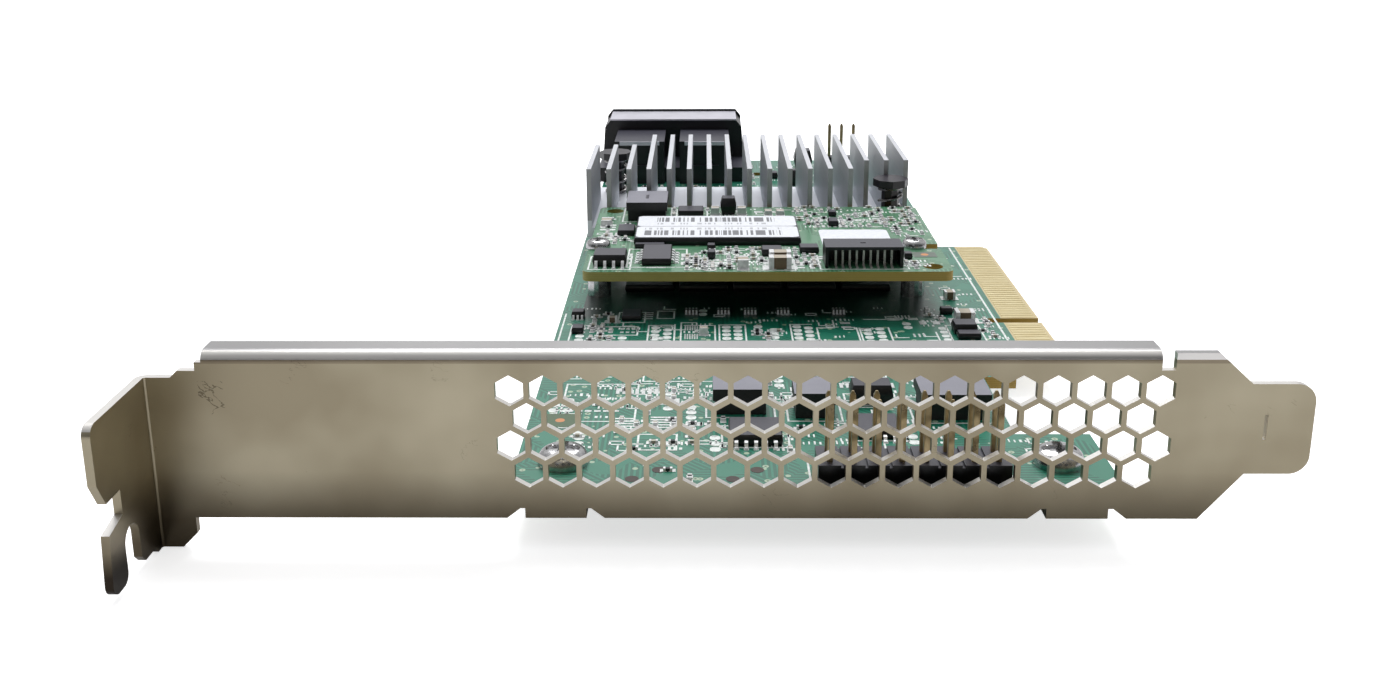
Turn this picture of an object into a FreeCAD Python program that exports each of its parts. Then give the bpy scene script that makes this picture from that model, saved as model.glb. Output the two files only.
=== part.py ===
import FreeCAD, Part
import math
import os
import Sketcher

# A low-profile storage controller card on a full-height slot bracket.
#
# Frame, in millimetres: the card lies flat with its component side up.
# X runs along the bracket, with X = 0 at the tips of the contact fingers and the card body at -X.
# Y runs along the card, with Y = 0 at the outer face of the bracket.
# Z = 0 is the underside of the circuit board.

SIZES = {
    # folded sheet-metal bracket
    "sheet": 0.86,
    "bend_radius": 0.25,
    "bracket_long": 120.02,
    "bracket_wide": 18.42,
    "bracket_overhang": 13.77,
    "flange_start": 6.9,
    "flange_deep": 3.4,
    "end_plate_long": 4.3,
    "end_step": 0.15,
    "relief_wide": 1.4,
    "relief_deep": 2.0,
    "tongue_wide": 9.85,
    "tongue_edge": 5.1,
    "tongue_long": 6.5,
    "tongue_round": 2.0,
    "shoulder_run": 3.6,
    "shoulder_drop": 0.72,
    "neck_long": 6.2,
    "neck_step": 3.6,
    "neck_high": 15.65,
    "ear_drop": 3.4,
    "ear_long": 4.7,
    "ear_cut": 1.6,
    "neck_rise": 0.75,
    "tab_deep": 12.9,
    "tab_shoulder": 9.6,
    "notch_floor": 7.1,
    "notch_roof": 4.5,
    "notch_depth": 4.7,
    "tab_round": 1.2,
    "claw_top": 3.8,
    "claw_bottom": -2.65,
    "claw_inset": 0.7,
    "claw_lean": 0.6,
    "notch_ramp": 1.5,
    "prong_cut": 0.8,
    "slot_wide": 3.4,
    "slot_centre": 6.8,
    "slot_high": 0.95,
    "vent_across": 2.92,
    "vent_pitch": 3.48,
    "vent_start": 0.85,
    "vent_low": 5.16,
    "vent_columns": 20,
    "vent_rows": 4,
    "slit_inset": 5.0,
    "slit_low": 8.9,
    "slit_long": 2.7,
    "slit_wide": 0.35,
    "foot_wide": 6.4,
    "foot_round": 1.28,
    "foot_long": 12.6,
    "foot_left": 5.25,
    "foot_right": 59.45,
    "foot_screw": 8.5,
    "foot_relief": 0.5,
    "foot_ramp": 1.4,
    # printed circuit board
    "card_high": 68.9,
    "card_long": 167.65,
    "board_thick": 1.57,
    "board_gap": 0.45,
    "finger_high": 8.25,
    "key_place": 57.15,
    "key_wide": 1.9,
    "key_deep": 7.88,
    "short_fingers": 11.65,
    "long_fingers": 38.35,
    "finger_chamfer": 1.0,
    "lug_reach": 3.85,
    "lug_end": 16.4,
    "bay_edge": 12.45,
    "bay_end": 34.6,
    "rear_hole_x": 32.0,
    "rear_hole_inset": 13.85,
    "rear_hole": 3.0,
    # gold contacts
    "contact_pitch": 1.0,
    "contact_wide": 0.7,
    "contact_long": 4.6,
    "contact_thick": 0.04,
    "contact_setback": 0.5,
    "short_contacts": 11,
    "long_contacts": 38,
    # bracket screws
    "bracket_screw": 3.0,
    "bracket_screw_head": 5.6,
    "bracket_screw_head_high": 1.9,
    "bracket_screw_clearance": 0.2,
    "recess_reach": 0.55,
    "recess_width": 0.15,
    "recess_floor": 0.5,
    # controller chip and heat sink
    "sink_x": 0.95,
    "sink_y": 95.3,
    "sink_long": 30.4,
    "fin_pitch": 3.39,
    "fin_thick": 0.8,
    "fin_count": 17,
    "sink_base": 1.6,
    "sink_high": 13.97,
    "sink_bare_front": 6.6,
    "sink_bare_rear": 9.4,
    "sink_bare_fins": 3,
    "pad_thick": 0.2,
    "chip_wide": 27.0,
    "substrate_thick": 1.2,
    "die_wide": 13.0,
    "die_thick": 0.77,
    "pin_inset_x": 3.35,
    "pin_inset_y": 3.6,
    "pin_shaft": 3.0,
    "pin_barb": 3.9,
    "pin_clearance": 0.2,
    "pin_head": 6.0,
    "pin_head_thick": 1.25,
    "pin_top": 13.05,
    "pin_tail": 2.6,
    "pin_tail_tip": 1.8,
    "pin_slit": 0.75,
    "spring_across": 4.3,
    "spring_wire": 0.5,
    "spring_turns": 4.5,
    # rear double receptacle
    "port_x": -0.25,
    "port_wide": 29.0,
    "port_deep": 9.65,
    "port_overhang": 1.0,
    "port_high": 10.75,
    "port_lip_high": 0.7,
    "port_shoulder_wide": 1.1,
    "port_shoulder_high": 1.4,
    "port_flare": 0.7,
    "port_pitch": 13.25,
    "skirt_high": 2.95,
    "skirt_wall": 1.9,
    "block_wide": 10.15,
    "block_high": 8.8,
    "block_long": 13.0,
    "latch_wide": 6.0,
    "latch_high": 2.6,
    "latch_deep": 0.5,
    "latch_drop": 2.4,
    "mouth_wide": 11.2,
    "mouth_high": 8.2,
    "mouth_floor": 1.0,
    "mouth_deep": 9.4,
    "core_wide": 9.6,
    "core_high": 6.4,
    "core_long": 4.4,
    "core_slot_high": 1.1,
    "core_slot_wide": 8.4,
    "core_slot_pitch": 3.2,
    "core_slot_deep": 3.3,
    "clip_wide": 8.1,
    "clip_high": 0.75,
    "clip_thick": 0.3,
    # daughter board
    "module_x": 3.4,
    "module_y": 56.3,
    "module_wide": 52.8,
    "module_long": 38.1,
    "module_thick": 1.4,
    "module_gap": 6.17,
    "module_round": 1.2,
    "module_screw_inset_left": 1.4,
    "module_screw_inset_right": 3.75,
    "module_screw_y": 13.3,
    "module_slot": 2.6,
    "module_hole": 2.8,
    "module_hole_inset": 2.6,
    "standoff": 3.6,
    "module_screw": 2.0,
    "module_screw_head": 3.7,
    "module_screw_head_high": 1.3,
    "module_screw_clearance": 0.2,
    "stack_x": 11.6,
    "stack_y": 30.3,
    "stack_long": 32.0,
    "stack_wide": 5.4,
    "stack_rim": 0.7,
    "stack_split": 0.55,
    "stack_well": 0.6,
    "stack_reach": 0.9,
    # cache power receptacle on the daughter board
    "power_x": 34.7,
    "power_y": 2.0,
    "power_wide": 11.15,
    "power_deep": 4.7,
    "power_high": 3.05,
    "power_wall": 0.45,
    "power_notch": 0.8,
    "power_pin_pitch": 1.0,
    "power_pin_count": 9,
    "power_pin": 0.3,
    "power_foot": 0.5,
    # straight pin header behind the bracket
    "header_x": 32.75,
    "header_y": 2.3,
    "header_pitch": 2.54,
    "header_pins": 8,
    "header_rows": 2,
    "header_pin": 0.64,
    "header_base_high": 2.5,
    "header_groove": 0.3,
    "header_pin_high": 9.4,
    "header_tail": 1.3,
    "header_drill": 0.84,
    # straight pin header at the rear edge
    "aux_x": 46.4,
    "aux_inset": 8.85,
    "aux_pins": 3,
    "aux_pin_high": 9.6,
    # memory chips below the daughter board
    "memory_x": 5.2,
    "memory_y": 14.7,
    "memory_wide": 7.5,
    "memory_long": 12.5,
    "memory_high": 1.1,
    "memory_pitch": 8.3,
    "memory_count": 5,
    # flash package with its two labels
    "flash_x": 6.7,
    "flash_y": 13.9,
    "flash_wide": 25.4,
    "flash_long": 13.5,
    "flash_high": 1.2,
    "label_thick": 0.08,
    "label_long": 6.35,
    "label_margin": 0.3,
    "side_label": 10.7,
    "side_label_x": 40.7,
    "side_label_y": 17.6,
    # chip leads
    "lead": 0.4,
    "lead_thick": 0.2,
    "lead_foot": 1.0,
    "soic_pitch": 1.27,
    # moulded power inductors
    "inductor_cap": 0.45,
    "inductor_waist": 0.08,
}

document = FreeCAD.newDocument("controller_card")
sheet = document.addObject("Spreadsheet::Sheet", "Sizes")
for row, (alias, number) in enumerate(SIZES.items(), start=1):
    sheet.set("A%d" % row, alias)
    sheet.set("B%d" % row, str(number))
    sheet.setAlias("B%d" % row, alias)
document.recompute()


class Size:
    """A length that knows both its number and the sheet formula that gives it."""

    def __init__(self, formula, number):
        self.formula = formula
        self.number = float(number)

    def combine(self, sign, other, number, swap=False):
        first, second = (other, self) if swap else (self, other)
        return Size("(%s %s %s)" % (first.formula, sign, second.formula), number)

    def __add__(self, other):
        other = size(other)
        return self.combine("+", other, self.number + other.number)

    def __sub__(self, other):
        other = size(other)
        return self.combine("-", other, self.number - other.number)

    def __mul__(self, other):
        other = size(other)
        return self.combine("*", other, self.number * other.number)

    def __truediv__(self, other):
        other = size(other)
        return self.combine("/", other, self.number / other.number)

    def __rsub__(self, other):
        other = size(other)
        return self.combine("-", other, other.number - self.number, swap=True)

    def __neg__(self):
        return 0 - self

    __radd__ = __add__
    __rmul__ = __mul__


def size(value):
    """Make a Size of a plain number, and leave a Size as it is."""
    if isinstance(value, Size):
        return value
    return Size("(%r)" % float(value), value)


class Sheet:
    """The sheet's sizes, read by name."""

    def __getattr__(self, name):
        return Size("Sizes.%s" % name, SIZES[name])


d = Sheet()
parts = []


def bind(thing, name, value):
    """Drive one property of an object by a formula on the sheet."""
    thing.setExpression(name, size(value).formula)


def place(thing, at):
    """Put an object's origin at a point given as three sizes."""
    for axis, value in zip("xyz", at):
        bind(thing, "Placement.Base.%s" % axis, value)


def node(thing, label):
    """Name a finished piece, which is written to a file of that name."""
    thing.Label = label
    parts.append(thing)
    return thing


# Small round pieces that repeat are drawn with this many sides.
SMALL_ROUND_SIDES = 16
PUSH_PIN_SIDES = 8

# ---------------------------------------------------------------- primitives


def box(extent, at):
    """A block with its low corner at a point."""
    thing = document.addObject("Part::Box", "Block")
    for name, value in zip(("Length", "Width", "Height"), extent):
        bind(thing, name, value)
    place(thing, at)
    return thing


def centred_box(extent, at):
    """A block centred in X and Y on a point and standing on it."""
    corner = (size(at[0]) - size(extent[0]) / 2, size(at[1]) - size(extent[1]) / 2, at[2])
    return box(extent, corner)


def prism(sides, across, high, at):
    """An upright regular prism standing on a point."""
    thing = document.addObject("Part::Prism", "Prism")
    thing.Polygon = sides
    bind(thing, "Circumradius", size(across) / 2)
    bind(thing, "Height", high)
    place(thing, at)
    return thing


def fuse(pieces):
    """Join solids into one."""
    thing = document.addObject("Part::MultiFuse", "Joined")
    thing.Shapes = pieces
    return thing


def cut(base, tools):
    """Cut solids out of a solid."""
    thing = document.addObject("Part::Cut", "Cut")
    thing.Base = base
    thing.Tool = tools[0] if len(tools) == 1 else group(tools)
    return thing


def group(pieces):
    """Hold separate solids together without joining them."""
    thing = document.addObject("Part::Compound", "Group")
    thing.Links = pieces
    return thing


# ---------------------------------------------------------------- part design


def new_body(at):
    """A PartDesign body with its own origin at a point."""
    thing = document.addObject("PartDesign::Body", "Body")
    place(thing, at)
    return thing


def origin_feature(thing, role):
    """One of the body's own origin planes or axes."""
    return [feature for feature in thing.Origin.OriginFeatures if feature.Role == role][0]


def new_sketch(thing, role, offset=None):
    """A sketch on one of the body's origin planes, or at a distance along its normal."""
    sketch = thing.newObject("Sketcher::SketchObject", "Sketch")
    sketch.AttachmentSupport = [(origin_feature(thing, role), "")]
    sketch.MapMode = "FlatFace"
    if offset is not None:
        bind(sketch, "AttachmentOffset.Base.z", offset)
    return sketch


def pin_point(sketch, geometry, end, point):
    """Hold a sketch point at two sizes measured from the sketch's origin."""
    for kind, value in zip(("DistanceX", "DistanceY"), point):
        value = size(value)
        index = sketch.addConstraint(Sketcher.Constraint(kind, -1, 1, geometry, end, value.number))
        sketch.setExpression("Constraints[%d]" % index, value.formula)


def outline(sketch, points):
    """A closed run of straight lines through the given corners."""
    count = len(points)
    for index, point in enumerate(points):
        target = points[(index + 1) % count]
        start = FreeCAD.Vector(size(point[0]).number, size(point[1]).number, 0)
        finish = FreeCAD.Vector(size(target[0]).number, size(target[1]).number, 0)
        line = sketch.addGeometry(Part.LineSegment(start, finish))
        pin_point(sketch, line, 1, point)
        pin_point(sketch, line, 2, target)


def rectangle(sketch, low, high):
    """A rectangle between two corners."""
    outline(sketch, [low, (high[0], low[1]), high, (low[0], high[1])])


def circle(sketch, centre, across):
    """A circle of a diameter."""
    across = size(across)
    middle = FreeCAD.Vector(size(centre[0]).number, size(centre[1]).number, 0)
    index = sketch.addGeometry(Part.Circle(middle, FreeCAD.Vector(0, 0, 1), across.number / 2))
    pin_point(sketch, index, 3, centre)
    constraint = sketch.addConstraint(Sketcher.Constraint("Diameter", index, across.number))
    sketch.setExpression("Constraints[%d]" % constraint, across.formula)


def hexagon(sketch, centre, across):
    """A hexagon with a point at its top, by its width across flats."""
    across = size(across)
    reach = across / math.sqrt(3)
    half = across / 2
    turns = [(0 * half, reach), (-half, reach / 2), (-half, -reach / 2)]
    turns += [(0 * half, -reach), (half, -reach / 2), (half, reach / 2)]
    outline(sketch, [(centre[0] + x, centre[1] + y) for x, y in turns])


def polygon(sketch, sides, across):
    """A regular polygon about the sketch's origin, by its width across corners."""
    reach = size(across) / 2
    angles = [2 * math.pi * step / sides for step in range(sides)]
    outline(sketch, [(reach * math.cos(angle), reach * math.sin(angle)) for angle in angles])


def pad(thing, sketch, length, back=False):
    """Raise a sketch into a solid."""
    feature = thing.newObject("PartDesign::Pad", "Pad")
    feature.Profile = sketch
    bind(feature, "Length", length)
    feature.Reversed = back
    document.recompute()
    return feature


def pocket(thing, sketch, length, back=False):
    """Cut a sketch out of the solid, and make sure that something was cut."""
    before = thing.Tip.Shape.Volume
    feature = thing.newObject("PartDesign::Pocket", "Pocket")
    feature.Profile = sketch
    bind(feature, "Length", length)
    feature.Reversed = back
    document.recompute()
    if not feature.Shape.Volume < before - 1e-6:
        raise ValueError("a pocket of %s cuts nothing" % thing.Name)
    return feature


def repeat(thing, feature, axis, step, count):
    """Repeat a feature along one axis."""
    pattern = thing.newObject("PartDesign::LinearPattern", "Pattern")
    pattern.Originals = [feature]
    pattern.Direction = (origin_feature(thing, axis), [""])
    pattern.Mode = "Spacing"
    bind(pattern, "Offset", step)
    bind(pattern, "Occurrences", count)
    thing.Tip = pattern
    document.recompute()
    return pattern


def round_edges(thing, corners, radius, direction):
    """Round the straight edges that run along a direction through given corners of the body."""
    names = []
    base = thing.Tip
    shape = base.Shape
    drop = "xyz".index(direction)
    for corner in corners:
        found = []
        for index, edge in enumerate(shape.Edges, start=1):
            if len(edge.Vertexes) != 2:
                continue
            ends = [tuple(vertex.Point) for vertex in edge.Vertexes]
            flat = [[value for axis, value in enumerate(end) if axis != drop] for end in ends]
            target = [size(value).number for value in corner]
            if all(math.dist(end, target) < 0.01 for end in flat):
                found.append("Edge%d" % index)
        if not found:
            raise ValueError("no edge of %s at a corner to round" % thing.Name)
        names += found
    feature = thing.newObject("PartDesign::Fillet", "Rounding")
    feature.Base = (base, names)
    bind(feature, "Radius", radius)
    document.recompute()
    return feature


# ---------------------------------------------------------------- shared places

bracket_left = d.bracket_overhang - d.bracket_long
board_left = -d.card_high
board_offset = board_left - bracket_left
board_front = d.sheet + d.board_gap
board_top = d.board_thick
bend = d.bend_radius + d.sheet
sink_wide = d.fin_pitch * (d.fin_count - 1) + d.fin_thick
sink_left = board_left + d.sink_x
sink_floor = board_top + d.substrate_thick + d.die_thick + d.pad_thick
sink_deck = sink_floor + d.sink_base
sink_top = board_top + d.sink_high
module_floor = board_top + d.module_gap
module_top = module_floor + d.module_thick
module_left = board_left + d.module_x
sink_right = sink_left + sink_wide
sink_back = d.sink_y + d.sink_long
pin_places = (
    (sink_right - d.pin_inset_x, d.sink_y + d.pin_inset_y),
    (sink_left + d.pin_inset_x, sink_back - d.pin_inset_y),
)
foot_places = (board_offset + d.foot_left, board_offset + d.foot_right)
module_right = module_left + d.module_wide
module_screw_row = d.module_y + d.module_screw_y
module_screw_places = (
    (module_left + d.module_screw_inset_left, module_screw_row),
    (module_right - d.module_screw_inset_right, module_screw_row),
)
tongue_root = d.bracket_long - d.tongue_long
body_end = tongue_root - d.shoulder_run
flange_end = body_end - d.end_plate_long - d.relief_wide
port_left = board_left + d.port_x
port_front = d.card_long - d.port_deep
rear_hole_y = d.card_long - d.rear_hole_inset
aux_y = d.card_long - d.aux_inset
main_corner = (board_left, size(0), board_top)
rear_corner = (board_left, d.card_long, board_top)
module_corner = (module_left, d.module_y, module_top)


def pin_grid(x, y, count, rows):
    """The centres of a header's pins, from the board's corner, row by row."""
    pitch = d.header_pitch
    steps = [(index + 0.5, row + 0.5) for row in range(rows) for index in range(count)]
    return [(x + pitch * across, y + pitch * along) for across, along in steps]


def header_places():
    return pin_grid(d.header_x, d.header_y, SIZES["header_pins"], SIZES["header_rows"])


def rear_header_places():
    return pin_grid(d.aux_x, aux_y, SIZES["aux_pins"], 1)


# ---------------------------------------------------------------- bracket


def bracket_face(body):
    """The flat face with its neck, ear, foot reliefs, shoulders and tongue."""
    end_top = d.bracket_wide - d.end_step
    tongue_top = d.tongue_edge + d.tongue_wide
    neck_top = d.neck_high + d.neck_rise
    zero = size(0)
    points = [(zero, -d.ear_drop), (d.ear_long - d.ear_cut, -d.ear_drop)]
    points += [(d.ear_long, d.ear_cut - d.ear_drop), (d.ear_long, zero)]
    for foot in foot_places:
        low = foot - d.foot_wide / 2 - d.foot_relief
        high = foot + d.foot_wide / 2 + d.foot_relief
        points += [(low - d.foot_ramp, zero), (low, bend), (high, bend), (high + d.foot_ramp, zero)]
    points += [(body_end - d.shoulder_drop, zero), (tongue_root, d.tongue_edge)]
    points += [(d.bracket_long, d.tongue_edge), (d.bracket_long, tongue_top)]
    points += [(tongue_root, tongue_top), (body_end, end_top)]
    points += [(flange_end + d.relief_wide, end_top)]
    points += [(flange_end + d.relief_wide, d.bracket_wide - d.relief_deep)]
    points += [(flange_end, d.bracket_wide - d.relief_deep), (flange_end, d.bracket_wide - bend)]
    points += [(d.neck_long, d.bracket_wide - bend), (d.neck_long, neck_top)]
    points += [(d.neck_step + d.neck_rise, neck_top), (d.neck_step, d.neck_high)]
    points += [(zero, d.neck_high)]
    sketch = new_sketch(body, "XZ_Plane")
    outline(sketch, points)
    pad(body, sketch, d.sheet, back=True)
    ends = [(d.bracket_long, d.tongue_edge), (d.bracket_long, tongue_top)]
    round_edges(body, ends, d.tongue_round, "y")


def bracket_flange(body):
    """The long stiffening flange bent back along the upper edge."""
    sketch = new_sketch(body, "YZ_Plane", d.flange_start)
    top = d.bracket_wide
    low = top - bend
    points = [(size(0), low), (d.sheet, low), (d.sheet, top - d.sheet)]
    points += [(d.flange_deep, top - d.sheet), (d.flange_deep, top), (size(0), top)]
    outline(sketch, points)
    pad(body, sketch, flange_end - d.flange_start)
    round_edges(body, [(size(0), top)], bend, "x")
    round_edges(body, [(d.sheet, top - d.sheet)], d.bend_radius, "x")


def bracket_foot(body, centre):
    """One foot, bent back under the board and drilled for its screw."""
    low = centre - d.foot_wide / 2
    sketch = new_sketch(body, "YZ_Plane", low)
    points = [(size(0), bend), (size(0), size(0)), (d.foot_long, size(0))]
    points += [(d.foot_long, d.sheet), (d.sheet, d.sheet), (d.sheet, bend)]
    outline(sketch, points)
    pad(body, sketch, d.foot_wide)
    round_edges(body, [(low, d.foot_long), (low + d.foot_wide, d.foot_long)], d.foot_round, "z")
    hole = new_sketch(body, "XY_Plane")
    circle(hole, (centre, d.foot_screw), d.bracket_screw)
    pocket(body, hole, d.sheet, back=True)


def bracket_tab(body):
    """The fixing tab bent forward at the left end, with its notch and open screw slot."""
    zero = size(0)
    slot_outer = -d.slot_centre - d.slot_wide / 2
    slot_inner = -d.slot_centre + d.slot_wide / 2
    claw = d.tab_deep - d.claw_inset
    points = [(d.sheet, -d.ear_drop), (d.sheet, d.neck_high), (-d.tab_deep, d.neck_high)]
    points += [(-d.tab_deep, d.tab_shoulder), (d.notch_ramp - d.tab_deep, d.notch_floor)]
    points += [(d.notch_depth - d.tab_deep, d.notch_floor)]
    points += [(d.notch_depth - d.tab_deep, d.notch_roof), (d.claw_lean - claw, d.claw_top)]
    points += [(-claw, d.claw_bottom), (slot_outer, d.claw_bottom), (slot_outer, d.slot_high)]
    points += [(slot_inner, d.slot_high), (slot_inner, d.claw_bottom + d.prong_cut)]
    points += [(slot_inner + d.prong_cut, d.claw_bottom), (-bend - d.sheet, d.claw_bottom)]
    points += [(-bend, -d.ear_drop)]
    sketch = new_sketch(body, "YZ_Plane")
    outline(sketch, points)
    pad(body, sketch, d.sheet)
    slot = new_sketch(body, "YZ_Plane")
    circle(slot, (-d.slot_centre, d.slot_high), d.slot_wide)
    pocket(body, slot, d.sheet, back=True)
    corners = [(-d.tab_deep, d.neck_high), (-claw, d.claw_bottom), (slot_outer, d.claw_bottom)]
    round_edges(body, corners, d.tab_round, "x")
    round_edges(body, [(zero, d.sheet)], bend, "z")
    round_edges(body, [(d.sheet, zero)], d.bend_radius, "z")


def bracket_vents(body):
    """Staggered rows of hexagonal vents and the small slit in the tongue."""
    row_pitch = d.vent_pitch * (math.sqrt(3) / 2)
    for row in range(SIZES["vent_rows"]):
        inset = 1 - row % 2
        sketch = new_sketch(body, "XZ_Plane")
        first = board_offset + d.vent_start + d.vent_pitch * (inset / 2)
        hexagon(sketch, (first, d.vent_low + row_pitch * row), d.vent_across)
        vent = pocket(body, sketch, d.sheet)
        repeat(body, vent, "X_Axis", d.vent_pitch, d.vent_columns - inset)
    slit = new_sketch(body, "XZ_Plane")
    low = (d.bracket_long - d.slit_inset, d.slit_low)
    rectangle(slit, low, (low[0] + d.slit_wide, low[1] + d.slit_long))
    pocket(body, slit, d.sheet)


def bracket():
    body = new_body((bracket_left, size(0), -d.sheet))
    bracket_face(body)
    bracket_flange(body)
    for centre in foot_places:
        bracket_foot(body, centre)
    bracket_tab(body)
    bracket_vents(body)
    return node(body, "bracket")


# ---------------------------------------------------------------- main board


def main_board():
    """The long board with its contact tongue, key slot, bracket lug and bay."""
    body = new_body((board_left, size(0), size(0)))
    wide = d.card_high
    edge = wide - d.finger_high
    near = d.key_place - d.key_wide / 2
    far = d.key_place + d.key_wide / 2
    slot = wide - d.key_deep + d.key_wide / 2
    first = near - d.short_fingers
    last = far + d.long_fingers
    cut_corner = d.finger_chamfer
    points = [(size(0), board_front), (wide - d.lug_reach, board_front)]
    points += [(wide - d.lug_reach, d.lug_end), (wide - d.bay_edge, d.lug_end)]
    points += [(wide - d.bay_edge, d.bay_end), (edge, d.bay_end), (edge, first)]
    points += [(wide - cut_corner, first), (wide, first + cut_corner)]
    points += [(wide, near), (slot, near), (slot, far), (wide, far)]
    points += [(wide, last - cut_corner), (wide - cut_corner, last)]
    points += [(edge, last), (edge, d.card_long), (size(0), d.card_long)]
    sketch = new_sketch(body, "XY_Plane")
    outline(sketch, points)
    pad(body, sketch, d.board_thick)
    holes = new_sketch(body, "XY_Plane")
    circle(holes, (slot, d.key_place), d.key_wide)
    for foot in foot_places:
        across = d.bracket_screw + d.bracket_screw_clearance
        circle(holes, (foot - board_offset, d.foot_screw), across)
    for x, y in pin_places:
        circle(holes, (x - board_left, y), d.pin_shaft + d.pin_clearance)
    circle(holes, (d.rear_hole_x, rear_hole_y), d.rear_hole)
    half = d.header_drill / 2
    for x, y in header_places() + rear_header_places():
        rectangle(holes, (x - half, y - half), (x + half, y + half))
    pocket(body, holes, d.board_thick, back=True)
    return node(body, "main_board")


def edge_contacts():
    """Rows of gold contacts on both faces of the contact tongue."""
    body = new_body((board_left, size(0), size(0)))
    end = d.card_high - d.contact_setback
    near = d.key_place - d.key_wide / 2
    far = d.key_place + d.key_wide / 2
    short_start = near - (d.short_fingers + (d.short_contacts - 1) * d.contact_pitch) / 2
    long_start = far + (d.long_fingers - (d.long_contacts - 1) * d.contact_pitch) / 2
    rows = ((short_start, d.short_contacts), (long_start, d.long_contacts))
    for level in (board_top, -d.contact_thick):
        for start, count in rows:
            sketch = new_sketch(body, "XY_Plane", level)
            low = (end - d.contact_long, start - d.contact_wide / 2)
            rectangle(sketch, low, (end, low[1] + d.contact_wide))
            contact = pad(body, sketch, d.contact_thick)
            repeat(body, contact, "Y_Axis", d.contact_pitch, count)
    return node(body, "edge_contacts")


# ---------------------------------------------------------------- screws


def screw(across, long, head, head_high, at):
    """A screw with a cross recess. The point given is the underside of its head."""
    x, y, z = (size(value) for value in at)
    shaft = prism(SMALL_ROUND_SIDES, across, size(long) + head_high / 2, (x, y, z - long))
    crown = prism(SMALL_ROUND_SIDES, head, head_high, (x, y, z))
    arm = head * d.recess_reach
    slit = head * d.recess_width
    floor = z + head_high * d.recess_floor
    cross = [
        centred_box((arm, slit, head_high), (x, y, floor)),
        centred_box((slit, arm, head_high), (x, y, floor)),
    ]
    return cut(fuse([shaft, crown]), cross)


def screws():
    """The two screws into the bracket's feet and the two into the standoffs."""
    bracket_screws = []
    for foot in foot_places:
        at = (bracket_left + foot, d.foot_screw, board_top)
        long = d.board_thick + d.sheet
        sizes = (d.bracket_screw, long, d.bracket_screw_head, d.bracket_screw_head_high)
        bracket_screws.append(screw(*sizes, at))
    node(group(bracket_screws), "bracket_screws")
    module_screws = []
    for x, y in module_screw_places:
        long = d.module_thick + d.module_gap / 2
        sizes = (d.module_screw, long, d.module_screw_head, d.module_screw_head_high)
        module_screws.append(screw(*sizes, (x, y, module_top)))
    node(group(module_screws), "module_screws")


# ---------------------------------------------------------------- heat sink


def heat_sink():
    """An extruded comb of fins, bared at two corners for its spring pins."""
    body = new_body((sink_left, d.sink_y, sink_floor))
    fin_high = sink_top - sink_deck
    base = new_sketch(body, "XY_Plane")
    rectangle(base, (size(0), size(0)), (sink_wide, d.sink_long))
    pad(body, base, d.sink_base)
    fin = new_sketch(body, "XY_Plane", d.sink_base)
    rectangle(fin, (size(0), size(0)), (d.fin_thick, d.sink_long))
    repeat(body, pad(body, fin, fin_high), "X_Axis", d.fin_pitch, d.fin_count)
    bare = d.fin_pitch * (d.sink_bare_fins - 0.5)
    corners = new_sketch(body, "XY_Plane", d.sink_base)
    rectangle(corners, (sink_wide - bare, size(0)), (sink_wide, d.sink_bare_front))
    rectangle(corners, (size(0), d.sink_long - d.sink_bare_rear), (bare, d.sink_long))
    pocket(body, corners, fin_high, back=True)
    holes = new_sketch(body, "XY_Plane")
    for x, y in pin_places:
        circle(holes, (x - sink_left, y - d.sink_y), d.pin_shaft + d.pin_clearance)
    pocket(body, holes, d.sink_base, back=True)
    return node(body, "heat_sink")


def controller_chip():
    """The controller's substrate and die, with the thermal pad that meets the heat sink."""
    x = sink_left + sink_wide / 2
    y = d.sink_y + d.sink_long / 2
    substrate = centred_box((d.chip_wide, d.chip_wide, d.substrate_thick), (x, y, board_top))
    die_floor = board_top + d.substrate_thick
    die = centred_box((d.die_wide, d.die_wide, d.die_thick), (x, y, die_floor))
    node(fuse([substrate, die]), "controller_chip")
    pad_floor = die_floor + d.die_thick
    node(centred_box((d.die_wide, d.die_wide, d.pad_thick), (x, y, pad_floor)), "thermal_pad")


def push_pin(x, y, label):
    """An eight-sided nylon pin, split at its tapered end, pulled up by its spring."""
    head_floor = d.pin_top - d.pin_head_thick
    shaft = prism(PUSH_PIN_SIDES, d.pin_shaft, d.pin_top, (x, y, 0))
    head = prism(PUSH_PIN_SIDES, d.pin_head, d.pin_head_thick, (x, y, head_floor))
    ring = new_body((x, y, size(0)))
    sections = []
    for across, level in ((d.pin_barb, size(0)), (d.pin_tail_tip, -d.pin_tail)):
        sketch = new_sketch(ring, "XY_Plane", level)
        polygon(sketch, PUSH_PIN_SIDES, across)
        sections.append(sketch)
    barb = ring.newObject("PartDesign::AdditiveLoft", "Barb")
    barb.Profile = sections[0]
    barb.Sections = sections[1:]
    barb.Ruled = True
    document.recompute()
    slit_high = d.pin_tail + d.board_thick
    slit = centred_box((d.pin_slit, d.pin_head, slit_high), (x, y, -d.pin_tail))
    node(cut(fuse([shaft, head, ring]), [slit]), label)


def pin_spring(x, y, label):
    """The coil spring between the heat sink's base and the head of a push pin."""
    body = new_body((x, y, sink_deck))
    room = d.pin_top - d.pin_head_thick - sink_deck
    sketch = new_sketch(body, "XZ_Plane")
    rise = d.spring_wire / 2
    middle = (d.spring_across - d.spring_wire) / 2
    points = [(middle, size(0)), (middle + rise, rise), (middle, 2 * rise), (middle - rise, rise)]
    outline(sketch, points)
    coil = body.newObject("PartDesign::AdditiveHelix", "Coil")
    coil.Profile = sketch
    coil.ReferenceAxis = (sketch, ["V_Axis"])
    coil.Mode = "height-turns-angle"
    bind(coil, "Height", room - 2 * rise)
    bind(coil, "Turns", d.spring_turns)
    document.recompute()
    node(body, label)


# ---------------------------------------------------------------- rear receptacle


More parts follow.
